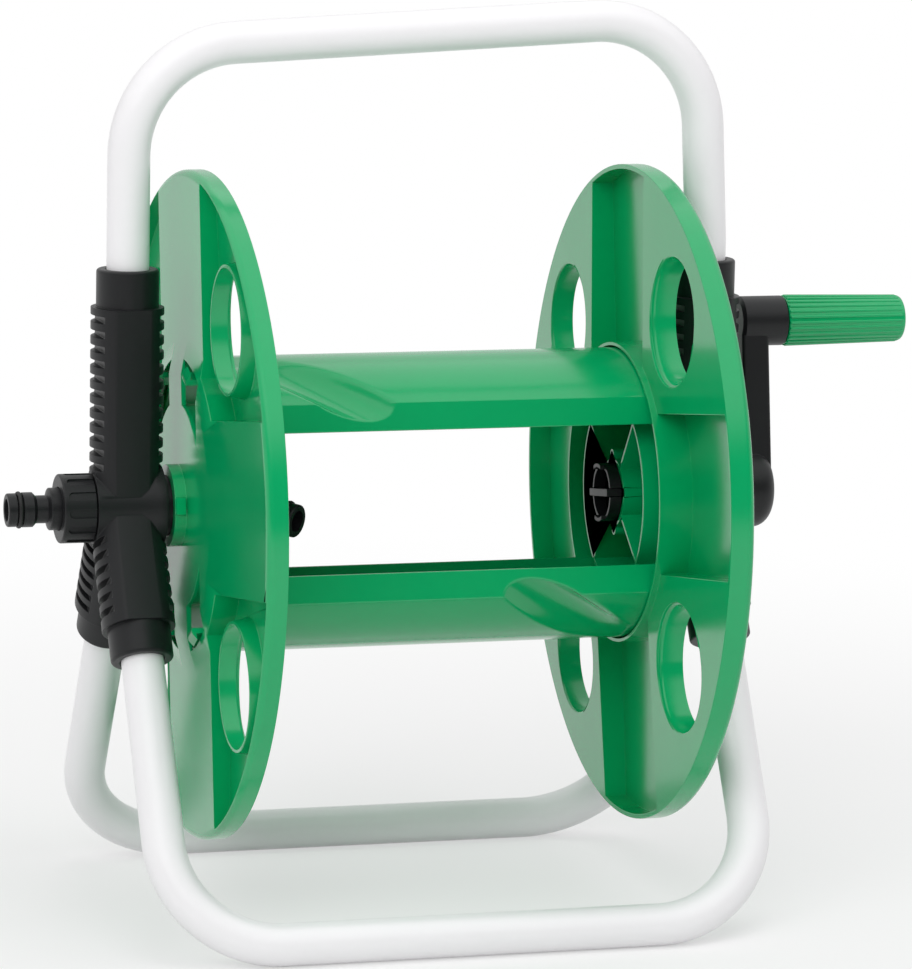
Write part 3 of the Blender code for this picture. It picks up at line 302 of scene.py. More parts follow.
def set_camera():
    back = Vector((sin(CAMERA_AZIMUTH) * cos(CAMERA_ELEVATION),
                   -cos(CAMERA_AZIMUTH) * cos(CAMERA_ELEVATION), sin(CAMERA_ELEVATION)))
    level = Vector((0, 0, 1)).cross(back).normalized()
    upright = back.cross(level)
    right = level * cos(CAMERA_ROLL) + upright * sin(CAMERA_ROLL)
    up = upright * cos(CAMERA_ROLL) - level * sin(CAMERA_ROLL)
    camera = bpy.data.cameras.new("camera")
    camera.lens = LENS
    camera.clip_start = 0.05
    camera.clip_end = 60.0
    holder = bpy.data.objects.new("camera", camera)
    bpy.context.scene.collection.objects.link(holder)
    turn = Matrix((right, up, back)).transposed().to_4x4()
    holder.matrix_world = Matrix.Translation(HUB + CAMERA_PLACE) @ turn
    bpy.context.scene.camera = holder


def add_lamp(name, place, size, share):
    """A round soft box aimed at the hub. Share is the part of a plain surface's colour that it lights.

    It doesn't show in reflections, which are the world's.
    """
    distance = Vector(place).length
    lamp = bpy.data.lights.new(name, "AREA")
    lamp.shape = "DISK"
    lamp.size = size
    lamp.energy = share * pi ** 2 * distance ** 2
    holder = bpy.data.objects.new(name, lamp)
    bpy.context.scene.collection.objects.link(holder)
    turn = Vector(place).to_track_quat("Z", "Y").to_matrix().to_4x4()
    holder.matrix_world = Matrix.Translation(HUB + Vector(place)) @ turn
    holder.visible_glossy = False


def set_world(ambient, front_reflection, overhead):
    """White behind, beside and above the object, dim in reflections from in front, where the camera stands."""
    world = bpy.data.worlds.new("studio")
    bpy.context.scene.world = world
    world.use_nodes = True
    nodes = world.node_tree.nodes
    links = world.node_tree.links
    nodes.clear()
    paths = nodes.new("ShaderNodeLightPath")
    place = nodes.new("ShaderNodeTexCoord")
    parts = nodes.new("ShaderNodeSeparateXYZ")
    links.new(place.outputs["Generated"], parts.inputs[0])
    front = nodes.new("ShaderNodeMapRange")
    front.interpolation_type = "SMOOTHSTEP"
    front.inputs["From Min"].default_value = -0.75
    front.inputs["From Max"].default_value = 0.05
    front.inputs["To Min"].default_value = front_reflection
    front.inputs["To Max"].default_value = 1.0
    links.new(parts.outputs["Y"], front.inputs["Value"])
    above = nodes.new("ShaderNodeMapRange")
    above.interpolation_type = "SMOOTHSTEP"
    above.inputs["From Min"].default_value = 0.30
    above.inputs["From Max"].default_value = 0.62
    above.inputs["To Max"].default_value = overhead
    links.new(parts.outputs["Z"], above.inputs["Value"])
    shown = nodes.new("ShaderNodeMath")
    shown.operation = "MAXIMUM"
    links.new(front.outputs["Result"], shown.inputs[0])
    links.new(above.outputs["Result"], shown.inputs[1])
    strength = nodes.new("ShaderNodeMix")
    strength.inputs["A"].default_value = ambient
    links.new(paths.outputs["Is Glossy Ray"], strength.inputs["Factor"])
    links.new(shown.outputs[0], strength.inputs["B"])
    seen = nodes.new("ShaderNodeMath")
    seen.operation = "MAXIMUM"
    links.new(paths.outputs["Is Camera Ray"], seen.inputs[0])
    links.new(paths.outputs["Is Transmission Ray"], seen.inputs[1])
    final = nodes.new("ShaderNodeMix")
    final.inputs["B"].default_value = 1.0
    links.new(seen.outputs[0], final.inputs["Factor"])
    links.new(strength.outputs["Result"], final.inputs["A"])
    shade = nodes.new("ShaderNodeBackground")
    links.new(final.outputs["Result"], shade.inputs["Strength"])
    output = nodes.new("ShaderNodeOutputWorld")
    links.new(shade.outputs[0], output.inputs[0])


def make_floor():
    """A pale floor that keeps the object's shadow near it and turns plain white further out. Its glow in reflections
    is lowered in front, a painted shade.
    """
    shape = bmesh.new()
    bmesh.ops.create_circle(shape, cap_ends=True, segments=96, radius=20.0)
    mesh = bpy.data.meshes.new("floor")
    shape.to_mesh(mesh)
    shape.free()
    floor = bpy.data.objects.new("floor", mesh)
    bpy.context.scene.collection.objects.link(floor)
    material = bpy.data.materials.new("floor_white")
    material.use_nodes = True
    nodes = material.node_tree.nodes
    links = material.node_tree.links
    nodes.clear()
    place = nodes.new("ShaderNodeTexCoord")
    distance = nodes.new("ShaderNodeVectorMath")
    distance.operation = "LENGTH"
    links.new(place.outputs["Object"], distance.inputs[0])
    away = nodes.new("ShaderNodeMapRange")
    away.interpolation_type = "SMOOTHSTEP"
    away.inputs["From Min"].default_value = 0.25
    away.inputs["From Max"].default_value = 0.95
    away.inputs["To Min"].default_value = 0.50
    away.inputs["To Max"].default_value = 1.0
    links.new(distance.outputs["Value"], away.inputs["Value"])
    parts = nodes.new("ShaderNodeSeparateXYZ")
    links.new(place.outputs["Object"], parts.inputs[0])
    # Painted shade: in reflections the floor glows less towards the front and under the object than behind it,
    # standing in for the shade there.
    front = nodes.new("ShaderNodeMapRange")
    front.interpolation_type = "SMOOTHSTEP"
    front.inputs["From Min"].default_value = -0.30
    front.inputs["From Max"].default_value = 0.50
    front.inputs["To Min"].default_value = 0.25
    front.inputs["To Max"].default_value = 0.95
    links.new(parts.outputs["Y"], front.inputs["Value"])
    paths = nodes.new("ShaderNodeLightPath")
    share = nodes.new("ShaderNodeMix")
    links.new(paths.outputs["Is Glossy Ray"], share.inputs["Factor"])
    links.new(front.outputs["Result"], share.inputs["B"])
    bare = nodes.new("ShaderNodeMath")
    bare.operation = "MULTIPLY"
    links.new(away.outputs["Result"], bare.inputs[0])
    links.new(paths.outputs["Is Camera Ray"], bare.inputs[1])
    links.new(bare.outputs[0], share.inputs["A"])
    surface = nodes.new("ShaderNodeBsdfDiffuse")
    surface.inputs["Color"].default_value = (0.86, 0.86, 0.86, 1.0)
    white = nodes.new("ShaderNodeEmission")
    mix = nodes.new("ShaderNodeMixShader")
    links.new(share.outputs["Result"], mix.inputs["Fac"])
    links.new(surface.outputs[0], mix.inputs[1])
    links.new(white.outputs[0], mix.inputs[2])
    output = nodes.new("ShaderNodeOutputMaterial")
    links.new(mix.outputs[0], output.inputs["Surface"])
    mesh.materials.append(material)


# Skins

def add_noise(tree, vector, scale, detail, roughness=0.5):
    noise = tree.nodes.new("ShaderNodeTexNoise")
    noise.inputs["Scale"].default_value = scale
    noise.inputs["Detail"].default_value = detail
    noise.inputs["Roughness"].default_value = roughness
    tree.links.new(vector, noise.inputs["Vector"])
    return noise.outputs["Fac"]


def scaled(tree, value, factor, centre=0.5):
    """(value - centre) * factor, where factor may be a socket."""
    shift = tree.nodes.new("ShaderNodeMath")
    shift.operation = "SUBTRACT"
    tree.links.new(value, shift.inputs[0])
    shift.inputs[1].default_value = centre
    times = tree.nodes.new("ShaderNodeMath")
    times.operation = "MULTIPLY"
    tree.links.new(shift.outputs[0], times.inputs[0])
    tree.links.new(factor, times.inputs[1])
    return times.outputs[0]


def summed(tree, one, two):
    total = tree.nodes.new("ShaderNodeMath")
    total.operation = "ADD"
    tree.links.new(one, total.inputs[0])
    tree.links.new(two, total.inputs[1])
    return total.outputs[0]


def skin_group():
    """Moulded or painted skin: an uneven tone, an uneven gloss and a fine relief."""
    tree = bpy.data.node_groups.new("moulded_skin", "ShaderNodeTree")
    sockets = (("Colour", "NodeSocketColor"), ("Tone Change", "NodeSocketFloat"), ("Roughness", "NodeSocketFloat"),
               ("Gloss Change", "NodeSocketFloat"), ("Grain Scale", "NodeSocketFloat"),
               ("Flow Change", "NodeSocketFloat"))
    for name, kind in sockets:
        tree.interface.new_socket(name, in_out="INPUT", socket_type=kind)
    for name, kind in (("Colour", "NodeSocketColor"), ("Roughness", "NodeSocketFloat"), ("Relief", "NodeSocketFloat")):
        tree.interface.new_socket(name, in_out="OUTPUT", socket_type=kind)
    given = tree.nodes.new("NodeGroupInput")
    result = tree.nodes.new("NodeGroupOutput")
    place = tree.nodes.new("ShaderNodeTexCoord").outputs["Object"]
    cloud = add_noise(tree, place, 14.0, 3.0)
    speckle = add_noise(tree, place, 240.0, 2.0)
    handling = add_noise(tree, place, 38.0, 5.0, 0.65)
    stretch = tree.nodes.new("ShaderNodeVectorMath")
    stretch.operation = "MULTIPLY"
    stretch.inputs[1].default_value = (9.0, 42.0, 42.0)
    tree.links.new(place, stretch.inputs[0])
    flow = add_noise(tree, stretch.outputs[0], 1.0, 2.0)
    tone = summed(tree, scaled(tree, cloud, given.outputs["Tone Change"]),
                  scaled(tree, speckle, given.outputs["Tone Change"]))
    tone = summed(tree, tone, scaled(tree, flow, given.outputs["Flow Change"]))
    level = tree.nodes.new("ShaderNodeMath")
    level.operation = "ADD"
    level.inputs[1].default_value = 1.0
    tree.links.new(tone, level.inputs[0])
    colour = tree.nodes.new("ShaderNodeVectorMath")
    colour.operation = "SCALE"
    tree.links.new(given.outputs["Colour"], colour.inputs[0])
    tree.links.new(level.outputs[0], colour.inputs["Scale"])
    gloss = summed(tree, given.outputs["Roughness"], scaled(tree, handling, given.outputs["Gloss Change"]))
    relief = tree.nodes.new("ShaderNodeTexNoise")
    relief.inputs["Detail"].default_value = 2.0
    tree.links.new(place, relief.inputs["Vector"])
    tree.links.new(given.outputs["Grain Scale"], relief.inputs["Scale"])
    tree.links.new(colour.outputs[0], result.inputs["Colour"])
    tree.links.new(gloss, result.inputs["Roughness"])
    tree.links.new(relief.outputs["Fac"], result.inputs["Relief"])
    return tree


def make_skin(name, group, colour, roughness, tone, gloss, grain, relief, flow=0.0, coat=0.0,
              specular=0.5):
    material = bpy.data.materials.new(name)
    material.use_nodes = True
    tree = material.node_tree
    shader = tree.nodes["Principled BSDF"]
    skin = tree.nodes.new("ShaderNodeGroup")
    skin.node_tree = group
    values = {"Colour": (*colour, 1.0), "Tone Change": tone, "Roughness": roughness, "Gloss Change": gloss,
              "Grain Scale": grain, "Flow Change": flow}
    for socket, value in values.items():
        skin.inputs[socket].default_value = value
    tree.links.new(skin.outputs["Colour"], shader.inputs["Base Color"])
    tree.links.new(skin.outputs["Roughness"], shader.inputs["Roughness"])
    bump = tree.nodes.new("ShaderNodeBump")
    bump.inputs["Strength"].default_value = 1.0
    bump.inputs["Distance"].default_value = relief
    tree.links.new(skin.outputs["Relief"], bump.inputs["Height"])
    tree.links.new(bump.outputs["Normal"], shader.inputs["Normal"])
    shader.inputs["Specular IOR Level"].default_value = specular
    shader.inputs["Coat Weight"].default_value = coat
    shader.inputs["Coat Roughness"].default_value = 0.08
    return material


# Shapes

def add_object(name, mesh):
    body = bpy.data.objects.new(name, mesh)
    bpy.context.scene.collection.objects.link(body)
    return body


def body_from(shape, name="body"):
    """Turns a bmesh into an object with its faces pointing out."""
    bmesh.ops.remove_doubles(shape, verts=shape.verts, dist=1e-7)
    bmesh.ops.recalc_face_normals(shape, faces=shape.faces)
    mesh = bpy.data.meshes.new(name)
    shape.to_mesh(mesh)
    shape.free()
    return add_object(name, mesh)


def lathe(profile, sides=ROUND_SIDES, closed=True):
    """A body turned about X from (x, radius) points. An open profile starts and ends on the axis."""
    shape = bmesh.new()
    points = [shape.verts.new((x, 0.0, radius)) for x, radius in profile]
    pairs = zip(points, points[1:] + points[:1]) if closed else zip(points, points[1:])
    edges = [shape.edges.new(pair) for pair in pairs]
    bmesh.ops.spin(shape, geom=points + edges, cent=(0, 0, 0), axis=(1, 0, 0), angle=2 * pi,
                   steps=sides, use_merge=True)
    return body_from(shape)


def cylinder(start, end, radius, sides=ROUND_SIDES):
    return lathe([(start, 0.0), (start, radius), (end, radius), (end, 0.0)], sides, closed=False)


def ring_cutter(start, end, inner, outer, sides=ROUND_SIDES):
    return lathe([(start, inner), (start, outer), (end, outer), (end, inner)], sides)


def draw_out(shape, face, vector):
    """Extrudes a face along a vector and gives back its new end face."""
    drawn = bmesh.ops.extrude_face_region(shape, geom=[face])["geom"]
    tips = [item for item in drawn if isinstance(item, bmesh.types.BMVert)]
    bmesh.ops.translate(shape, verts=tips, vec=vector)
    return [item for item in drawn if isinstance(item, bmesh.types.BMFace)][0]


def extrusion(corners, vector):
    shape = bmesh.new()
    draw_out(shape, shape.faces.new([shape.verts.new(corner) for corner in corners]), vector)
    return body_from(shape)


def prism(outline, start, end):
    """An outline of (y, z) points, drawn out along X."""
    return extrusion([(start, y, z) for y, z in outline], (end - start, 0, 0))


def block(low, high):
    corners = [(low[1], low[2]), (high[1], low[2]), (high[1], high[2]), (low[1], high[2])]
    return prism(corners, low[0], high[0])


def arc(radius, start, end, steps, centre=(0.0, 0.0)):
    """Points of an arc about centre, with its angles measured from +Z towards +Y."""
    angles = [start + (end - start) * step / steps for step in range(steps + 1)]
    return [(centre[0] + radius * sin(angle), centre[1] + radius * cos(angle)) for angle in angles]


def transform(body, matrix):
    body.data.transform(matrix)
    if matrix.is_negative:
        body.data.flip_normals()
    return body


def shifted(body, x=0.0, y=0.0, z=0.0):
    return transform(body, Matrix.Translation((x, y, z)))


def turned(body, angle, axis):
    return transform(body, Matrix.Rotation(angle, 4, axis))


def aimed(body, start, direction):
    """Swings a body made along X so that it starts at a point and runs in a direction."""
    swing = Vector((1, 0, 0)).rotation_difference(direction).to_matrix().to_4x4()
    return transform(body, Matrix.Translation(start) @ swing)


def settle(body):
    """Makes a body's live modifiers part of its mesh."""
    graph = bpy.context.evaluated_depsgraph_get()
    mesh = bpy.data.meshes.new_from_object(body.evaluated_get(graph))
    body.modifiers.clear()
    body.data = mesh
    return body


def combine(body, operation, *tools):
    """Applies one Boolean to a body with all its tools."""
    group = bpy.data.collections.new(operation)
    modifier = body.modifiers.new(operation, "BOOLEAN")
    modifier.operation = operation
    modifier.solver = "EXACT"
    modifier.operand_type = "COLLECTION"
    modifier.collection = group
    for tool in tools:
        group.objects.link(tool)
    settle(body)
    for tool in tools:
        bpy.data.objects.remove(tool, do_unlink=True)
    bpy.data.collections.remove(group)
    return body


def merge_flat(body):
    """Merges doubled points, and faces that lie in one plane."""
    shape = bmesh.new()
    shape.from_mesh(body.data)
    bmesh.ops.remove_doubles(shape, verts=shape.verts, dist=MERGE)
    bmesh.ops.dissolve_degenerate(shape, edges=shape.edges, dist=MERGE)
    bmesh.ops.dissolve_limit(shape, angle_limit=radians(0.3), verts=shape.verts, edges=shape.edges)
    shape.to_mesh(body.data)
    shape.free()
    return body


def join(body, *tools):
    return merge_flat(combine(body, "UNION", *tools))


def cut(body, *tools):
    return merge_flat(combine(body, "DIFFERENCE", *tools))


def keep(body, *tools):
    return merge_flat(combine(body, "INTERSECT", *tools))


def soften(body, width, angle=radians(32)):
    """Rounds every edge sharper than an angle."""
    modifier = body.modifiers.new("soft_edges", "BEVEL")
    modifier.width = width
    modifier.segments = EDGE_STEPS
    modifier.limit_method = "ANGLE"
    modifier.angle_limit = angle
    modifier.use_clamp_overlap = False
    modifier.harden_normals = False
    return settle(body)


def gather(body, *others):
    """Puts several bodies' meshes into the first."""
    shape = bmesh.new()
    for part in (body, *others):
        shape.from_mesh(part.data)
    shape.to_mesh(body.data)
    shape.free()
    for other in others:
        bpy.data.objects.remove(other, do_unlink=True)
    return body


def finish_piece(body, name, skin, place, rides, node, smooth=radians(40), even=False):
    """Names a piece, puts it in place with its skin, and lets it stand for its solid.

    Even is for a piece of small faces, whose shading isn't evened out by their size.
    """
    body.name = name
    body.data.name = name
    body.data.materials.clear()
    body.data.materials.append(skin)
    transform(body, place)
    body.data.shade_smooth()
    body.data.set_sharp_from_angle(angle=smooth)
    if not even:
        body.modifiers.new("flat_faces", "WEIGHTED_NORMAL").keep_sharp = True
        settle(body)
    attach(body, rides)
    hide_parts(node)
    return body


# Patterns that repeat

def pattern_tree(name, inputs):
    """An empty node tree with its named sizes, and a geometry input and output."""
    tree = bpy.data.node_groups.new(name, "GeometryNodeTree")
    tree.interface.new_socket("Geometry", in_out="INPUT", socket_type="NodeSocketGeometry")
    for label, kind in inputs:
        tree.interface.new_socket(label, in_out="INPUT", socket_type=kind)
    tree.interface.new_socket("Geometry", in_out="OUTPUT", socket_type="NodeSocketGeometry")
    return tree, tree.nodes.new("NodeGroupInput"), tree.nodes.new("NodeGroupOutput")


def end_pattern(tree, geometry, result, material):
    real = tree.nodes.new("GeometryNodeRealizeInstances")
    coat = tree.nodes.new("GeometryNodeSetMaterial")
    tree.links.new(geometry, real.inputs[0])
    tree.links.new(real.outputs[0], coat.inputs["Geometry"])
    tree.links.new(material, coat.inputs["Material"])
    tree.links.new(coat.outputs[0], result.inputs[0])


def row_tree():
    """Copies of a body, a pitch apart along Z."""
    tree, given, result = pattern_tree("row", (("Count", "NodeSocketInt"), ("Pitch", "NodeSocketFloat"),
                                               ("Skin", "NodeSocketMaterial")))
    line = tree.nodes.new("GeometryNodeMeshLine")
    step = tree.nodes.new("ShaderNodeCombineXYZ")
    copies = tree.nodes.new("GeometryNodeInstanceOnPoints")
    tree.links.new(given.outputs["Count"], line.inputs["Count"])
    tree.links.new(given.outputs["Pitch"], step.inputs["Z"])
    tree.links.new(step.outputs[0], line.inputs["Offset"])
    tree.links.new(line.outputs[0], copies.inputs["Points"])
    tree.links.new(given.outputs["Geometry"], copies.inputs["Instance"])
    end_pattern(tree, copies.outputs[0], result, given.outputs["Skin"])
    return tree


def ring_tree():
    """Copies of a body, spread evenly round the X axis."""
    tree, given, result = pattern_tree("ring", (("Count", "NodeSocketInt"), ("Skin", "NodeSocketMaterial")))
    line = tree.nodes.new("GeometryNodeMeshLine")
    index = tree.nodes.new("GeometryNodeInputIndex")
    step = tree.nodes.new("ShaderNodeMath")
    step.operation = "DIVIDE"
    step.inputs[0].default_value = 2 * pi
    angle = tree.nodes.new("ShaderNodeMath")
    angle.operation = "MULTIPLY"
    turn = tree.nodes.new("ShaderNodeCombineXYZ")
    copies = tree.nodes.new("GeometryNodeInstanceOnPoints")
    line.inputs["Offset"].default_value = (0.0, 0.0, 0.0)
    tree.links.new(given.outputs["Count"], line.inputs["Count"])
    tree.links.new(given.outputs["Count"], step.inputs[1])
    tree.links.new(index.outputs[0], angle.inputs[0])
    tree.links.new(step.outputs[0], angle.inputs[1])
    tree.links.new(angle.outputs[0], turn.inputs["X"])
    tree.links.new(line.outputs[0], copies.inputs["Points"])
    tree.links.new(given.outputs["Geometry"], copies.inputs["Instance"])
    tree.links.new(turn.outputs[0], copies.inputs["Rotation"])
    end_pattern(tree, copies.outputs[0], result, given.outputs["Skin"])
    return tree


def tube_tree():
    """A round tube swept along a path whose corners are bent to a radius."""
    tree, given, result = pattern_tree("bent_tube", (("Corner", "NodeSocketFloat"), ("Radius", "NodeSocketFloat"),
                                                     ("Skin", "NodeSocketMaterial")))
    bend = tree.nodes.new("GeometryNodeFilletCurve")
    bend.mode = "POLY"
    bend.inputs["Count"].default_value = BEND_STEPS
    bend.inputs["Limit Radius"].default_value = False
    section = tree.nodes.new("GeometryNodeCurvePrimitiveCircle")
    section.inputs["Resolution"].default_value = TUBE_SIDES
    sweep = tree.nodes.new("GeometryNodeCurveToMesh")
    tree.links.new(given.outputs["Geometry"], bend.inputs["Curve"])
    tree.links.new(given.outputs["Corner"], bend.inputs["Radius"])
    tree.links.new(given.outputs["Radius"], section.inputs["Radius"])
    tree.links.new(bend.outputs[0], sweep.inputs["Curve"])
    tree.links.new(section.outputs[0], sweep.inputs["Profile Curve"])
    end_pattern(tree, sweep.outputs[0], result, given.outputs["Skin"])
    return tree


def grow(body, tree, values):
    """Runs a pattern on a body, with its sizes given by name, and keeps the result as a plain mesh."""
    modifier = body.modifiers.new(tree.name, "NODES")
    modifier.node_group = tree
    for item in tree.interface.items_tree:
        if item.in_out == "INPUT" and item.name in values:
            modifier[item.identifier] = values[item.name]
    graph = bpy.context.evaluated_depsgraph_get()
    mesh = bpy.data.meshes.new_from_object(body.evaluated_get(graph))
    grown = add_object(tree.name, mesh)
    bpy.data.objects.remove(body, do_unlink=True)
    return grown


# Stand

def path_curve(points):
    curve = bpy.data.curves.new("path", "CURVE")
    curve.dimensions = "3D"
    spline = curve.splines.new("POLY")
    spline.points.add(len(points) - 1)
    for point, place in zip(spline.points, points):
        point.co = (*place, 1.0)
    return add_object("path", curve)


def hoop(corners, corner):
    """A hollow tube that is open at both ends and bent along a line through (x, z) corners."""
    path = path_curve([(x, 0.0, z) for x, z in corners])
    body = grow(path, BENT_TUBE, {"Corner": corner, "Radius": TUBE_RADIUS, "Skin": WHITE_PAINT})
    shape = bmesh.new()
    shape.from_mesh(body.data)
    bmesh.ops.recalc_face_normals(shape, faces=shape.faces)
    shape.to_mesh(body.data)
    shape.free()
    wall = body.modifiers.new("wall", "SOLIDIFY")
    wall.thickness = TUBE_WALL
    wall.offset = -1.0
    settle(body)
    return body


def leg_matrix(side):
    """Lays a body drawn upwards from the hub along a leg. Side is -1 for the front, 1 for the rear."""
    turn = Matrix.Rotation(pi + side * LEG_SPLAY, 4, "X")
    return Matrix.Translation((0, 0, -LEG_CROSSING_DROP)) @ turn


def handle_corners():
    """The handle stands straight at the inlet side. Its bar climbs, and its crank side leans in."""
    mouth = POST_LENGTH + POST_COLLAR_LENGTH
    start = mouth - TUBE_INSERTION
    bend = mouth + TUBE_RADIUS
    rise = TUBE_SPREAD * tan(HANDLE_SKEW)
    lean = (HANDLE_HEIGHT + rise - bend) * cos(HANDLE_SKEW)
    return [(-TUBE_SPREAD, start), (-TUBE_SPREAD, HANDLE_HEIGHT - rise),
            (TUBE_SPREAD - lean * sin(HANDLE_SKEW), bend + lean * cos(HANDLE_SKEW)),
            (TUBE_SPREAD, bend), (TUBE_SPREAD, start)]


def leg_corners():
    start = LEG_POST_LENGTH + LEG_COLLAR_LENGTH - TUBE_INSERTION
    return [(-TUBE_SPREAD, start), (-TUBE_SPREAD, LEG_LENGTH), (TUBE_SPREAD, LEG_LENGTH), (TUBE_SPREAD, start)]


def make_hoops():
    handle = hoop(handle_corners(), HANDLE_CORNER)
    finish_piece(handle, "handle_tube", WHITE_PAINT, AT_HUB, "stand", "handle_hoop")
    for name, node, side in (("front_leg_tube", "front_leg_hoop", -1), ("rear_leg_tube", "rear_leg_hoop", 1)):
        leg = transform(hoop(leg_corners(), LEG_CORNER), leg_matrix(side))
        finish_piece(leg, name, WHITE_PAINT, AT_HUB, "stand", node)


def slots(count, top, side):
    """Cutters for the slots down one side of a post, from the top one's upper edge."""
    slot = block((FIN_FLOOR, -2 * POST_RADIUS, -FIN_SLOT), (2 * POST_RADIUS, 2 * POST_RADIUS, 0.0))
    row = grow(slot, ROW, {"Count": count, "Pitch": -FIN_PITCH, "Skin": BLACK_PLASTIC})
    return transform(shifted(row, z=top), Matrix.Diagonal((side, 1, 1, 1)))


def post(length, collar_length, slot_count, end_fin):
    """A post up Z with a flat front and back, finned at both sides, and a round collar with a mouth."""
    end = length + collar_length
    flat = acos(POST_HALF_DEPTH / POST_RADIUS)
    outline = arc(POST_RADIUS, flat, pi - flat, POST_STEPS)
    outline += arc(POST_RADIUS, pi + flat, 2 * pi - flat, POST_STEPS)
    body = extrusion([(x, y, 0.0) for x, y in outline], (0, 0, length))
    cut(body, *[slots(slot_count, length - end_fin, side) for side in (-1, 1)])
    profile = [(length - FIN_SLOT / 2, 0.0), (length - FIN_SLOT / 2, COLLAR_RADIUS)]
    profile += rounded(end - COLLAR_ROUNDING, COLLAR_RADIUS - COLLAR_ROUNDING, COLLAR_ROUNDING, 0.0, pi / 2)
    return join(body, turned(lathe(profile + [(end, 0.0)], closed=False), -pi / 2, "Y"))


def leg_pair():
    """The front leg's post, cut off at the middle, together with its mirror image."""
    leg = transform(post(LEG_POST_LENGTH, LEG_COLLAR_LENGTH, LEG_SLOTS, LEG_END_FIN), leg_matrix(-1))
    reach = 2 * POST_RADIUS
    cut(leg, block((-reach, 0.0, -LEG_POST_LENGTH), (reach, reach, LEG_POST_LENGTH)))
    shape = bmesh.new()
    shape.from_mesh(leg.data)
    bpy.data.objects.remove(leg)
    middle = [face for face in shape.faces if all(abs(vertex.co.y) < MERGE for vertex in face.verts)]
    bmesh.ops.delete(shape, geom=middle, context="FACES")
    everything = shape.verts[:] + shape.edges[:] + shape.faces[:]
    twin = bmesh.ops.duplicate(shape, geom=everything)["geom"]
    bmesh.ops.scale(shape, vec=(1, -1, 1), verts=[item for item in twin if isinstance(item, bmesh.types.BMVert)])
    return body_from(shape)


def socket(mouth):
    """The bore that a tube end plugs into, with a rounded mouth."""
    bottom = mouth - TUBE_INSERTION - FIT
    bore = TUBE_RADIUS + FIT
    profile = [(bottom, 0.0), (bottom, bore), (mouth - EDGE, bore), (mouth + EDGE, bore + 2 * EDGE),
               (mouth + EDGE, 0.0)]
    return turned(lathe(profile, closed=False), -pi / 2, "Y")


def bracket_mesh():
    """The moulding that holds a handle end and two leg ends and carries a shaft."""
    body = post(POST_LENGTH, POST_COLLAR_LENGTH, POST_SLOTS, POST_END_FIN)
    rim_end = HUB_BOSS_RIM - HUB_BOSS_INNER_REACH
    hub = [(-HUB_BOSS_INNER_REACH, 0.0), (-HUB_BOSS_INNER_REACH, HUB_BOSS_RADIUS), (rim_end, HUB_BOSS_RADIUS),
           (rim_end + HUB_BOSS_TAPER, HUB_NECK_RADIUS), (HUB_BOSS_OUTER_REACH, HUB_NECK_RADIUS),
           (HUB_BOSS_OUTER_REACH, 0.0)]
    join(body, leg_pair(), lathe(hub, closed=False))
    sockets = [socket(POST_LENGTH + POST_COLLAR_LENGTH)]
    for side in (-1, 1):
        sockets.append(transform(socket(LEG_POST_LENGTH + LEG_COLLAR_LENGTH), leg_matrix(side)))
    inner = -2 * HUB_BOSS_INNER_REACH
    outer = 2 * HUB_BOSS_OUTER_REACH
    floor = SHOULDER_THICKNESS + 2 * FIT - HUB_BOSS_INNER_REACH
    cut(body, *sockets,
        cylinder(inner, outer, SHAFT_HOLE),
        cylinder(inner, floor, SHOULDER_RADIUS + FIT),
        cylinder(inner, -HUB_BOSS_INNER_REACH, HUB_BOSS_RADIUS + HUB_CLEARANCE),
        cylinder(HUB_BOSS_OUTER_REACH, outer, HUB_NECK_RADIUS + FIT))
    soften(body, EDGE)
    mesh = body.data
    bpy.data.objects.remove(body)
    return mesh


def make_brackets():
    mesh = bracket_mesh()
    for name, node, side, turn in (("crank_side_bracket", "crank_bracket", 1, 0.0),
                                   ("inlet_side_bracket", "inlet_bracket", -1, pi)):
        bracket = add_object(name, mesh.copy())
        place = AT_HUB @ Matrix.Translation((side * TUBE_SPREAD, 0, 0)) @ Matrix.Rotation(turn, 4, "Z")
        finish_piece(bracket, name, BLACK_PLASTIC, place, "stand", node)


# Water way

def to_inlet(body):
    """Turns a body made on the crank side round to the inlet side."""
    return turned(body, pi, "Z")


def thread_profile(start, end, outer):
    """Ridges and hollows between two places along a shaft."""
    turns = int((end - start) / THREAD_PITCH)
    points = []
    for turn in range(turns):
        place = start + turn * THREAD_PITCH
        points += [(place, outer - THREAD_DEPTH), (place + THREAD_PITCH / 2, outer)]
    return points + [(start + turns * THREAD_PITCH, outer - THREAD_DEPTH)]


def make_water_shaft():
    shoulder = TUBE_SPREAD - HUB_BOSS_INNER_REACH + FIT
    inner_end = SLEEVE_END + 2 * FIT
    profile = [(inner_end, SPIGOT_SOCKET_RADIUS), (inner_end, SHAFT_RADIUS - EDGE), (inner_end + EDGE, SHAFT_RADIUS),
               (shoulder, SHAFT_RADIUS), (shoulder, SHOULDER_RADIUS),
               (shoulder + SHOULDER_THICKNESS, SHOULDER_RADIUS),
               (shoulder + SHOULDER_THICKNESS, SHAFT_RADIUS), (BRACKET_FACE, SHAFT_RADIUS)]
    profile += thread_profile(BRACKET_FACE, SHAFT_END, THREAD_RADIUS)
    profile += [(SHAFT_END, THREAD_RADIUS - THREAD_DEPTH), (SHAFT_END, WATER_BORE),
                (inner_end + SPIGOT_SOCKET_DEPTH, WATER_BORE),
                (inner_end + SPIGOT_SOCKET_DEPTH, SPIGOT_SOCKET_RADIUS)]
    finish_piece(to_inlet(lathe(profile)), "threaded_water_shaft", BLACK_PLASTIC, AT_HUB, "stand", "water_shaft",
                 radians(20))


def rounded(x, radius, size, start, end, steps=4):
    """Points round a corner, about the centre of its rounding, with angles from +radius towards +x."""
    angles = [start + (end - start) * step / steps for step in range(steps + 1)]
    return [(x + size * sin(angle), radius + size * cos(angle)) for angle in angles]


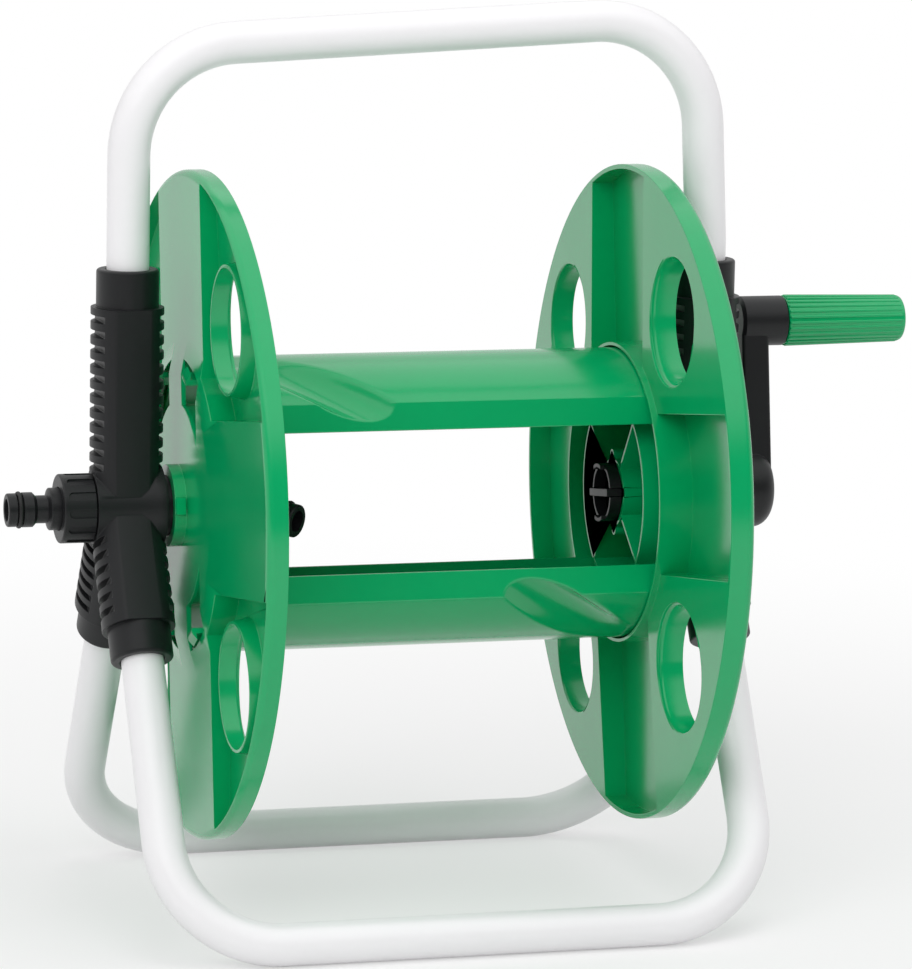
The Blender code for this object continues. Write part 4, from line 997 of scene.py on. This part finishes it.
def make_union_nut():
    start = BRACKET_FACE + FIT
    corner = rounded(NUT_END - NUT_ROUNDING, NUT_RADIUS - NUT_ROUNDING, NUT_ROUNDING, 0.0, pi / 2)
    profile = [(start, NUT_HOLE), (start, NUT_RADIUS - EDGE), (start + EDGE, NUT_RADIUS)] + corner
    profile += [(NUT_END, NOZZLE_COLLAR_RADIUS + FIT), (NUT_SEAT, NOZZLE_COLLAR_RADIUS + FIT), (NUT_SEAT, NUT_HOLE)]
    nut = lathe(profile, 2 * ROUND_SIDES)
    half = NUT_POCKET_WIDTH / 2
    stop = NUT_END - NUT_POCKET_STOP
    outline = [(start - half, -half)] + [(stop - half + half * cos(angle), half * sin(angle))
                                         for angle in [pi * step / 10 - pi / 2 for step in range(11)]]
    outline += [(start - half, half)]
    pocket = extrusion([(x, y, NUT_RADIUS - NUT_POCKET_DEPTH) for x, y in outline], (0, 0, 2 * NUT_POCKET_DEPTH))
    pockets = grow(pocket, RING, {"Count": NUT_POCKETS, "Skin": BLACK_PLASTIC})
    cut(nut, pockets)
    soften(nut, FINE_EDGE)
    finish_piece(to_inlet(nut), "fluted_union_nut", BLACK_PLASTIC, AT_HUB, "stand", "union_nut")


def tip_profile(start):
    """The outside of a quick-connector tip, from its flare to its rounded end."""
    neck = start + TIP_FLARE
    step = neck + TIP_NECK_LENGTH
    land = step + TIP_STEP
    groove = land + TIP_LAND_LENGTH
    end = groove + TIP_GROOVE_WIDTH
    floor = TIP_SEAL_RADIUS - SEAL_THICKNESS - FIT
    points = [(neck, TIP_NECK_RADIUS), (step, TIP_NECK_RADIUS), (land, TIP_LAND_RADIUS - EDGE),
              (land + EDGE, TIP_LAND_RADIUS), (groove - FINE_EDGE, TIP_LAND_RADIUS),
              (groove, TIP_LAND_RADIUS - FINE_EDGE), (groove, floor), (end, floor),
              (end, TIP_END_RADIUS - FINE_EDGE), (end + FINE_EDGE, TIP_END_RADIUS)]
    return points + rounded(end + TIP_END_LENGTH, TIP_END_RADIUS - TIP_END_ROUNDING, TIP_END_ROUNDING, 0.0, pi / 2)


def tip_seal_place(start):
    return start + TIP_FLARE + TIP_NECK_LENGTH + TIP_STEP + TIP_LAND_LENGTH + TIP_GROOVE_WIDTH / 2


def seal_ring(place, outer):
    """A rubber ring of round section."""
    middle = outer - SEAL_THICKNESS / 2
    profile = [(place + y, middle + z) for y, z in arc(SEAL_THICKNESS / 2, 0.0, 2 * pi, SEAL_SIDES)[:-1]]
    return lathe(profile)


def make_inlet():
    profile = [(GASKET_FACE, GASKET_HOLE), (GASKET_FACE, NUT_HOLE - FIT - EDGE), (GASKET_FACE + EDGE, NUT_HOLE - FIT),
               (GASKET_FACE + GASKET_THICKNESS - EDGE, NUT_HOLE - FIT),
               (GASKET_FACE + GASKET_THICKNESS, NUT_HOLE - FIT - EDGE), (GASKET_FACE + GASKET_THICKNESS, GASKET_HOLE)]
    finish_piece(to_inlet(lathe(profile)), "flat_gasket", RUBBER, AT_HUB, "stand", "union_gasket")
    flange_end = NOZZLE_SEAT + NOZZLE_FLANGE_THICKNESS
    profile = [(NOZZLE_SEAT, NOZZLE_BORE), (NOZZLE_SEAT, NUT_HOLE - FIT), (flange_end, NUT_HOLE - FIT),
               (flange_end, NOZZLE_COLLAR_RADIUS), (TIP_START - EDGE, NOZZLE_COLLAR_RADIUS),
               (TIP_START, NOZZLE_COLLAR_RADIUS - EDGE)]
    profile += tip_profile(TIP_START) + [(INLET_REACH, NOZZLE_BORE + EDGE), (INLET_REACH - EDGE, NOZZLE_BORE)]
    finish_piece(to_inlet(lathe(profile)), "inlet_tip", BLACK_PLASTIC, AT_HUB, "stand", "inlet_nozzle", radians(25))
    ring = seal_ring(tip_seal_place(TIP_START), TIP_SEAL_RADIUS)
    finish_piece(to_inlet(ring), "inlet_tip_ring", RUBBER, AT_HUB, "stand", "nozzle_seal")


# Drum

def flange_envelope(plane):
    """The flange's outside, turned in one piece before its pockets are cut. Plane is its drum side."""
    sleeve_end = plane - LIP_HEIGHT
    profile = [(sleeve_end, 0.0), (sleeve_end, LIP_RADIUS), (plane - FLANGE_DISH, LIP_RADIUS),
               (plane, FLANGE_RADIUS)]
    profile += rounded(RIM_FACE - RIM_ROUNDING, FLANGE_RADIUS - RIM_ROUNDING, RIM_ROUNDING, 0.0, pi / 2, 6)
    profile += [(RIM_FACE, CENTRE_FOLD_RADIUS), (CENTRE_FACE, CENTRE_RISE_RADIUS),
                (CENTRE_FACE, FLANGE_BOSS_RADIUS), (FLANGE_BOSS_END, FLANGE_BOSS_RADIUS),
                (FLANGE_BOSS_END, 0.0)]
    return lathe(profile, FLANGE_SIDES, closed=False)


def quadrants():
    return [(y, z) for y in (-1, 1) for z in (-1, 1)]


def hole_centre(y, z):
    reach = HOLE_CIRCLE / sqrt(2)
    return y * reach, z * reach


def quadrant_pockets(plane):
    """The four recesses between the arms of the cross, open to the outside, round the hole collars."""
    inner = LIP_RADIUS - LIP_WALL + FLANGE_WALL
    outer = FLANGE_RADIUS - FLANGE_WALL
    above = CENTRE_FACE + FLANGE_WALL
    pockets = lathe([(plane - FLANGE_DISH + FLANGE_WALL, inner), (plane + FLANGE_WALL, outer),
                     (above, outer), (above, inner)], FLANGE_SIDES)
    side = VERTICAL_CHANNEL_HALF_WIDTH + FLANGE_WALL
    level = LEVEL_CHANNEL_HALF_WIDTH + FLANGE_WALL
    below = plane - LIP_HEIGHT
    cross = cross_prism(side, level, below, above + FLANGE_WALL)
    collars = []
    for y, z in quadrants():
        end = FLANGE_PLANE + HOLE_COLLAR_HEIGHT
        profile = [(below, 0.0), (below, HOLE_RADIUS + FLANGE_WALL), (plane, HOLE_RADIUS + FLANGE_WALL),
                   (end, HOLE_END_RADIUS + HOLE_COLLAR_EDGE), (end, 0.0)]
        collars.append(shifted(lathe(profile, closed=False), 0.0, *hole_centre(y, z)))
    return cut(pockets, cross, *collars)


def cross_prism(side, level, start, end):
    """A cross of half widths side, upright, and level, lengthwise, that reaches past the rim."""
    far = FLANGE_RADIUS + FLANGE_WALL
    outline = [(side, level), (side, far), (-side, far), (-side, level), (-far, level), (-far, -level),
               (-side, -level), (-side, -far), (side, -far), (side, -level), (far, -level), (far, level)]
    return prism(outline, start, end)


def cross_channels(plane):
    """The cross-shaped channel on the drum side, behind the arms."""
    below = plane - LIP_HEIGHT - FLANGE_WALL
    channels = ring_cutter(below, RIM_FACE - CHANNEL_WALL, LIP_RADIUS, FLANGE_RADIUS - FLANGE_WALL, FLANGE_SIDES)
    cross = cross_prism(VERTICAL_CHANNEL_HALF_WIDTH, LEVEL_CHANNEL_HALF_WIDTH, below - FLANGE_WALL, CENTRE_FACE)
    return keep(channels, cross)


def keyhole_wedge(half_mouth, mouth, half_end, end, low, high):
    """A body that narrows from the sleeve's bore to a keyhole's round end."""
    return prism([(-half_mouth, mouth), (-half_end, end), (half_end, end), (half_mouth, mouth)], low, high)


def hub_pocket(plane):
    """The recess between sleeve and ring, round four slanting ribs and the sleeve's two keyholes."""
    low = plane - LIP_HEIGHT - FLANGE_WALL
    high = POCKET_FLOOR + FLANGE_WALL
    pocket = ring_cutter(low, POCKET_FLOOR, SLEEVE_RADIUS, RING_RADIUS - RING_WALL, FLANGE_SIDES)
    kept = []
    for angle in (pi / 4, -pi / 4):
        rib = block((low - FIT, -RING_RADIUS, -RIB_THICKNESS / 2), (high, RING_RADIUS, RIB_THICKNESS / 2))
        kept.append(turned(rib, angle, "X"))
    bulge_radius = KEYHOLE_RADIUS + KEYHOLE_WALL
    for side in (0.0, pi):
        bulge = shifted(cylinder(low - FIT, high, bulge_radius, PIN_SIDES), z=KEYHOLE_REACH)
        wedge = keyhole_wedge(KEYHOLE_MOUTH / 2 + 2 * KEYHOLE_WALL, SHAFT_HOLE, KEYHOLE_SLOT / 2 + KEYHOLE_WALL,
                              KEYHOLE_REACH, low - FIT, high)
        kept += [turned(bulge, side, "X"), turned(wedge, side, "X")]
    return cut(pocket, *kept)


def windows():
    """Four openings either side of the upright arm's neck, for the barrel plates' hooks."""
    ring = ring_cutter(FLANGE_PLANE, CENTRE_FACE + FLANGE_WALL, RING_RADIUS + WINDOW_GAP,
                       LIP_RADIUS - LIP_WALL - WINDOW_GAP, FLANGE_SIDES)
    low = (FLANGE_PLANE - FLANGE_WALL, WINDOW_NECK_HALF_WIDTH, WINDOW_START)
    high = (CENTRE_FACE + 2 * FLANGE_WALL, VERTICAL_CHANNEL_HALF_WIDTH, LIP_RADIUS)
    regions = block(low, high)
    others = []
    for y, z in quadrants()[:-1]:
        region = block(low, high)
        others.append(transform(region, Matrix.Diagonal((1, y, z, 1))))
    join(regions, *others)
    return keep(ring, regions)


def hole_cutter(plane, y, z):
    """A finger hole with a rounded edge on the drum side."""
    start = plane - LIP_HEIGHT
    edge = plane + HOLE_ROUNDING / 2
    profile = [(start, 0.0), (start, HOLE_RADIUS + HOLE_ROUNDING)]
    profile += [(edge - HOLE_ROUNDING * cos(angle), HOLE_RADIUS + HOLE_ROUNDING * (1 - sin(angle)))
                for angle in (0.0, pi / 8, pi / 4, 3 * pi / 8, pi / 2)]
    profile += [(FLANGE_PLANE + HOLE_COLLAR_HEIGHT, HOLE_END_RADIUS), (CENTRE_FACE, HOLE_END_RADIUS),
                (CENTRE_FACE, 0.0)]
    return shifted(lathe(profile, closed=False), 0.0, *hole_centre(y, z))


def flange_mesh(plane):
    """A flange, pierced for its shaft, the barrel's hooks, fingers and the key."""
    body = flange_envelope(plane)
    start = plane - LIP_HEIGHT - FLANGE_WALL
    barrel_pocket = ring_cutter(start, POCKET_FLOOR, RING_RADIUS, LIP_RADIUS - LIP_WALL, FLANGE_SIDES)
    cut(body, quadrant_pockets(plane), cross_channels(plane), barrel_pocket, hub_pocket(plane))
    openings = [windows(), cylinder(start, FLANGE_BOSS_END + FLANGE_WALL, SHAFT_HOLE)]
    for side in (0.0, pi):
        hole = shifted(cylinder(start, POCKET_FLOOR, KEYHOLE_RADIUS, PIN_SIDES), z=KEYHOLE_REACH)
        slot = keyhole_wedge(KEYHOLE_MOUTH / 2, SHAFT_HOLE - FIT, KEYHOLE_SLOT / 2, KEYHOLE_REACH, start,
                             POCKET_FLOOR)
        openings += [turned(hole, side, "X"), turned(slot, side, "X")]
    openings.append(block((start, -SLEEVE_RADIUS - FIT, -KEY_THICKNESS / 2 - FIT),
                          (KEY_END + FIT, SLEEVE_RADIUS + FIT, KEY_THICKNESS / 2 + FIT)))
    for y, z in quadrants():
        openings.append(hole_cutter(plane, y, z))
    cut(body, *openings)
    for side in (-1, 1):
        near = FLANGE_BOSS_RADIUS - 2 * BOSS_TAB_STAND
        tab = block((FLANGE_BOSS_END - BOSS_TAB_LENGTH, near, -BOSS_TAB_HALF_HEIGHT),
                    (FLANGE_BOSS_END - FIT, FLANGE_BOSS_RADIUS + BOSS_TAB_STAND, BOSS_TAB_HALF_HEIGHT))
        join(body, transform(tab, Matrix.Diagonal((1, side, 1, 1))))
    return soften(body, EDGE)


def make_flanges():
    for name, node, turn, plane in (("crank_side_flange", "crank_flange", 0.0, FLANGE_PLANE - CRANK_SIDE_DEEPER),
                                    ("inlet_side_flange", "inlet_flange", pi, FLANGE_PLANE)):
        flange = turned(flange_mesh(plane), turn, "Z")
        finish_piece(flange, name, GREEN_PLASTIC, AT_DRUM, "drum", node)


def barrel_section(inset):
    """A barrel plate's section, as (y, z) points from lip to lip, with rounded creases."""
    radius = BARREL_RADIUS - inset
    side = BARREL_RADIUS * sin(BARREL_CREASE) - inset
    crease = asin(side / radius)
    top = radius * cos(crease) - CREASE_ROUNDING
    ease = CREASE_ROUNDING / radius
    curve = arc(radius, ease - crease, crease - ease, BARREL_STEPS)
    if curve[0][0] > 0.0:
        curve.reverse()
    left = [(-side, BARREL_LIP_BOTTOM + (top - BARREL_LIP_BOTTOM) * step / LIP_STEPS)
            for step in range(LIP_STEPS + 1)]
    before = Vector(left[-1])
    corner = Vector((-side, top + CREASE_ROUNDING))
    after = Vector(curve[0])
    for share in (0.25, 0.5, 0.75):
        left.append(tuple(before.lerp(corner, share).lerp(corner.lerp(after, share), share)))
    return left + curve + [(-y, z) for y, z in reversed(left)]


def eased(depth, width):
    """Depth where it is above nothing, with a soft start of a width either side of nothing."""
    if depth > width:
        return depth
    return max(depth + width, 0.0) ** 2 / (4 * width)


def grooved(point, inset):
    """A point of the barrel's section, pressed in to the slanting trough where the hose climbs on."""
    crease = Vector((GROOVE_PLACE, -BARREL_RADIUS * sin(BARREL_CREASE), BARREL_RADIUS * cos(BARREL_CREASE)))
    outward = Vector((1, 0, 0)).cross(GROOVE_DIRECTION).normalized()
    from_axis = point - crease - outward * GROOVE_STAND
    across = abs(from_axis.dot(GROOVE_DIRECTION.cross(outward)))
    radius = GROOVE_RADIUS + inset
    reach = sqrt(radius ** 2 - across ** 2) if across < radius else radius - across
    rise = max(point.z - crease.z, 0.0) / (BARREL_RADIUS - crease.z)
    return point - outward * eased(from_axis.dot(outward) + reach, GROOVE_EDGE + GROOVE_FADE * rise)


def barrel_shell(end):
    """The plate between its ends, with its rows of points close together round the trough."""
    change = GROOVE_PLACE + GROOVE_REACH
    places = [(change + end) * step / GROOVE_STEPS - end for step in range(GROOVE_STEPS)]
    places += [change + (end - change) * step / PLAIN_STEPS for step in range(PLAIN_STEPS + 1)]
    outer = barrel_section(0.0)
    inner = barrel_section(BARREL_WALL)
    points = []
    for x in places:
        points += [grooved(Vector((x, y, z)), 0.0) for y, z in outer]
        points += [grooved(Vector((x, y, z)), BARREL_WALL) for y, z in reversed(inner)]
    width = len(outer) + len(inner)
    faces = []
    for row in range(0, len(points) - width, width):
        faces += [(row + one, row + one + width, row + (one + 1) % width + width, row + (one + 1) % width)
                  for one in range(width)]
    last = len(points) - width
    for one in range(len(outer) - 1):
        ring = (one, one + 1, width - 2 - one, width - 1 - one)
        faces += [ring, tuple(last + index for index in reversed(ring))]
    mesh = bpy.data.meshes.new("shell")
    mesh.from_pydata(points, [], faces)
    return soften(add_object("shell", mesh), EDGE, radians(80))


def barrel_tabs(end):
    """Two hooks on each end of a plate, which snap through the flange's windows."""
    outer = BARREL_RADIUS - BARREL_WALL
    catch = CENTRE_FACE + FIT
    start = end - TAB_ROOT
    inner = outer - TAB_THICKNESS
    tip = catch + TAB_HOOK_LENGTH
    hook = outer + TAB_HOOK
    profile = [(start, inner), (tip, inner), (tip, outer), (catch, hook), (catch, outer), (end, outer),
               (end, outer + BARREL_WALL / 2), (start, outer + BARREL_WALL / 2)]
    tabs = []
    for direction in (-1, 1):
        for side in (-1, 1):
            tab = extrusion([(x, -TAB_WIDTH / 2, z) for x, z in profile], (0, TAB_WIDTH, 0))
            turned(tab, side * TAB_ANGLE, "X")
            tabs.append(turned(tab, 0.0 if direction == 1 else pi, "Z"))
    return tabs


def make_barrel():
    end = POCKET_FLOOR - BARREL_END_GAP
    body = gather(barrel_shell(end), *barrel_tabs(end))
    for name, node, turn in (("upper_half_barrel", "upper_barrel_plate", 0.0),
                             ("lower_half_barrel", "lower_barrel_plate", pi)):
        plate = turned(add_object(name, body.data.copy()), turn, "Y")
        finish_piece(plate, name, GREEN_PLASTIC, AT_DRUM, "drum", node, even=True)
    bpy.data.objects.remove(body)


def make_elbow():
    """The elbow turns with the drum: its tail spins in the water shaft, its tip takes the hose."""
    seat = SLEEVE_END - FIT
    tail_end = seat + ELBOW_TAIL
    past = ELBOW_OVERLAP
    floor = ELBOW_SEAL_RADIUS - SEAL_THICKNESS - FIT
    profile = [(ELBOW_CORNER - past, 0.0), (ELBOW_CORNER - past, ELBOW_RADIUS),
               (seat - ELBOW_DISC_THICKNESS, ELBOW_RADIUS), (seat - ELBOW_DISC_THICKNESS, ELBOW_DISC_RADIUS),
               (seat, ELBOW_DISC_RADIUS), (seat, ELBOW_RADIUS)]
    for place in ELBOW_SEAL_PLACES:
        groove = seat + place
        half = TIP_GROOVE_WIDTH / 2
        profile += [(groove - half, ELBOW_RADIUS), (groove - half, floor), (groove + half, floor),
                    (groove + half, ELBOW_RADIUS)]
    profile += [(tail_end, ELBOW_RADIUS), (tail_end, 0.0)]
    body = to_inlet(lathe(profile, closed=False))
    spread = sin(ELBOW_BEND)
    direction = Vector((cos(ELBOW_BEND), -spread * cos(ELBOW_DROP), -spread * sin(ELBOW_DROP)))
    start = Vector((-ELBOW_CORNER, 0, 0))
    tip = [(-past, 0.0), (-past, ELBOW_RADIUS), (ELBOW_BRANCH, ELBOW_RADIUS)]
    tip += tip_profile(ELBOW_BRANCH) + [(ELBOW_BRANCH + TIP_LENGTH, 0.0)]
    branch = aimed(turned(lathe(tip, closed=False), pi / ROUND_SIDES / 2, "X"), start, direction)
    pins = []
    for z in (-1, 1):
        pin = cylinder(seat - ELBOW_DISC_THICKNESS / 2, seat + ELBOW_PIN_LENGTH, KEYHOLE_RADIUS - FIT, PIN_SIDES)
        pins.append(to_inlet(shifted(pin, z=z * KEYHOLE_REACH)))
    join(body, branch, *pins)
    tail_bore = to_inlet(cylinder(ELBOW_CORNER - past / 2, tail_end + FIT, ELBOW_BORE))
    branch_bore = cylinder(-past / 2, ELBOW_BRANCH + TIP_LENGTH + FIT, ELBOW_BORE)
    turned(branch_bore, pi / ROUND_SIDES / 2, "X")
    cut(body, tail_bore, aimed(branch_bore, start, direction))
    soften(body, FINE_EDGE, radians(50))
    finish_piece(body, "outlet_tip_elbow", BLACK_PLASTIC, AT_DRUM, "drum", "outlet_elbow")
    for name, node, place in zip(("elbow_inner_ring", "elbow_outer_ring"), ("elbow_inner_seal", "elbow_outer_seal"),
                                 ELBOW_SEAL_PLACES):
        ring = to_inlet(seal_ring(seat + place, ELBOW_SEAL_RADIUS))
        finish_piece(ring, name, RUBBER, AT_DRUM, "drum", node)
    outlet = aimed(seal_ring(tip_seal_place(ELBOW_BRANCH), TIP_SEAL_RADIUS), start, direction)
    finish_piece(outlet, "outlet_tip_ring", RUBBER, AT_DRUM, "drum", "outlet_seal")


# Crank

def make_crank():
    """Shaft, hub, arm and grip pin in one moulding, and the key that locks it to the flange."""
    hub_start = BRACKET_FACE + CRANK_GAP
    bore_end = ARM_BACK - FLANGE_WALL
    shaft = [(CRANK_SHAFT_END, 0.0), (CRANK_SHAFT_END, SHAFT_RADIUS), (hub_start, SHAFT_RADIUS),
             (hub_start, CRANK_BLOCK_RADIUS), (ARM_FACE, CRANK_BLOCK_RADIUS), (ARM_FACE, CRANK_HUB_RADIUS)]
    shaft += rounded(ARM_BACK - CRANK_HUB_DOME, CRANK_HUB_RADIUS - CRANK_HUB_DOME, CRANK_HUB_DOME, 0.0, pi / 2, 12)
    body = lathe(shaft + [(ARM_BACK, 0.0)], closed=False)
    arm = soften(block((ARM_FACE, -ARM_HALF_WIDTH, 0.0), (ARM_BACK, ARM_HALF_WIDTH, CRANK_THROW)), CRANK_EDGE)
    pin_end = CRANK_BOSS_END + GRIP_PIN_LENGTH
    barb = pin_end - GRIP_PIN_BARB_LENGTH
    edge = CRANK_EDGE / 2
    pin = [(ARM_FACE, 0.0), (ARM_FACE, CRANK_BOSS_RADIUS - CRANK_EDGE), (ARM_FACE + CRANK_EDGE, CRANK_BOSS_RADIUS)]
    pin += rounded(CRANK_BOSS_END - edge, CRANK_BOSS_RADIUS - edge, edge, 0.0, pi / 2)
    pin += [(CRANK_BOSS_END, GRIP_PIN_RADIUS), (barb, GRIP_PIN_RADIUS), (barb, GRIP_PIN_RADIUS + GRIP_PIN_BARB),
            (pin_end, GRIP_PIN_RADIUS - GRIP_PIN_BARB), (pin_end, 0.0)]
    join(body, arm, shifted(lathe(pin, closed=False), z=CRANK_THROW))
    bore = cylinder(CRANK_SHAFT_END - CRANK_HUB_RADIUS, bore_end, CRANK_SHAFT_BORE)
    key_hole = block((CRANK_SHAFT_END - CRANK_HUB_RADIUS, -CRANK_HUB_RADIUS, -KEY_THICKNESS / 2 - FIT),
                     (KEY_END + FIT, CRANK_HUB_RADIUS, KEY_THICKNESS / 2 + FIT))
    ends = []
    for side in (-1, 1):
        low = (CRANK_SHAFT_END - CRANK_SHAFT_LUG, CRANK_SHAFT_LUG_HALF_WIDTH, -CRANK_HUB_RADIUS)
        high = (CRANK_SHAFT_END + CRANK_SHAFT_LUG, CRANK_HUB_RADIUS, CRANK_HUB_RADIUS)
        ends.append(transform(block(low, high), Matrix.Diagonal((1, side, 1, 1))))
    cut(body, bore, key_hole, *ends)
    soften(body, FINE_EDGE, radians(50))
    finish_piece(body, "crank_moulding", BLACK_PLASTIC, AT_DRUM, "drum", "crank_arm")
    key = block((KEY_PLACE, -KEY_HALF_LENGTH, -KEY_THICKNESS / 2), (KEY_END, KEY_HALF_LENGTH, KEY_THICKNESS / 2))
    finish_piece(soften(key, EDGE), "cross_key", BLACK_PLASTIC, AT_DRUM, "drum", "shaft_key")


def make_grip():
    """A ribbed handle with a blind hole that snaps over the pin's barb."""
    core = GRIP_RADIUS - GRIP_RIB_RADIUS
    end_core = GRIP_END_RADIUS
    profile = [(0.0, 0.0), (0.0, core - EDGE), (EDGE, core)]
    profile += rounded(GRIP_LENGTH - GRIP_ROUNDING, end_core - GRIP_ROUNDING, GRIP_ROUNDING, 0.0, pi / 2, 8)
    body = lathe(profile + [(GRIP_LENGTH, 0.0)], 2 * ROUND_SIDES, closed=False)
    pin_end = GRIP_PIN_LENGTH - CRANK_GAP
    barb = pin_end - GRIP_PIN_BARB_LENGTH - FIT
    bore_radius = GRIP_PIN_RADIUS + FIT
    catch = bore_radius + GRIP_PIN_BARB
    hole = [(-GRIP_LENGTH, 0.0), (-GRIP_LENGTH, bore_radius), (barb, bore_radius), (barb, catch),
            (pin_end + GRIP_PIN_BARB, catch), (pin_end + GRIP_PIN_BARB, 0.0)]
    cut(body, lathe(hole, closed=False))
    near = Vector((GRIP_RIB_RADIUS, 0, core))
    far = Vector((GRIP_LENGTH - GRIP_ROUNDING, 0, end_core - GRIP_RIB_RADIUS / 2))
    length = (far - near).length
    rib = [(-GRIP_RIB_RADIUS, 0.0), (-GRIP_RIB_RADIUS / 2, GRIP_RIB_RADIUS * 0.7), (0.0, GRIP_RIB_RADIUS),
           (length - GRIP_RIB_RADIUS, GRIP_RIB_RADIUS), (length, GRIP_RIB_RADIUS * 0.6),
           (length + GRIP_RIB_RADIUS / 2, 0.0)]
    bar = aimed(lathe(rib, 12, closed=False), near, (far - near).normalized())
    gather(body, grow(bar, RING, {"Count": GRIP_RIBS, "Skin": GREEN_PLASTIC}))
    finish_piece(body, "ribbed_grip", GREEN_PLASTIC, AT_GRIP, "handgrip", "grip")


SKIN = skin_group()
GREEN_PLASTIC = make_skin("green_plastic", SKIN, (0.0002, 0.36, 0.118), 0.17, 0.05, 0.08, 1500.0, 0.00001,
                          flow=0.06, specular=0.6)
BLACK_PLASTIC = make_skin("black_plastic", SKIN, (0.0085, 0.009, 0.010), 0.42, 0.12, 0.12, 2200.0, 0.00004,
                          specular=0.36)
WHITE_PAINT = make_skin("white_paint", SKIN, (0.86, 0.85, 0.865), 0.32, 0.012, 0.06, 420.0, 0.00002, coat=0.1)
RUBBER = make_skin("black_rubber", SKIN, (0.008, 0.008, 0.008), 0.58, 0.10, 0.15, 1300.0, 0.00005)
ROW = row_tree()
RING = ring_tree()
BENT_TUBE = tube_tree()

set_camera()
set_world(ambient=0.78, front_reflection=0.02, overhead=1.5)
add_lamp("key", (-1.5, -2.2, 1.7), 2.2, 0.34)
add_lamp("top", (0.4, -0.5, 2.4), 1.9, 0.30)
make_floor()
make_hoops()
make_brackets()
make_water_shaft()
make_union_nut()
make_inlet()
make_flanges()
make_barrel()
make_elbow()
make_crank()
make_grip()

scene = bpy.context.scene
scene.view_settings.view_transform = "Standard"
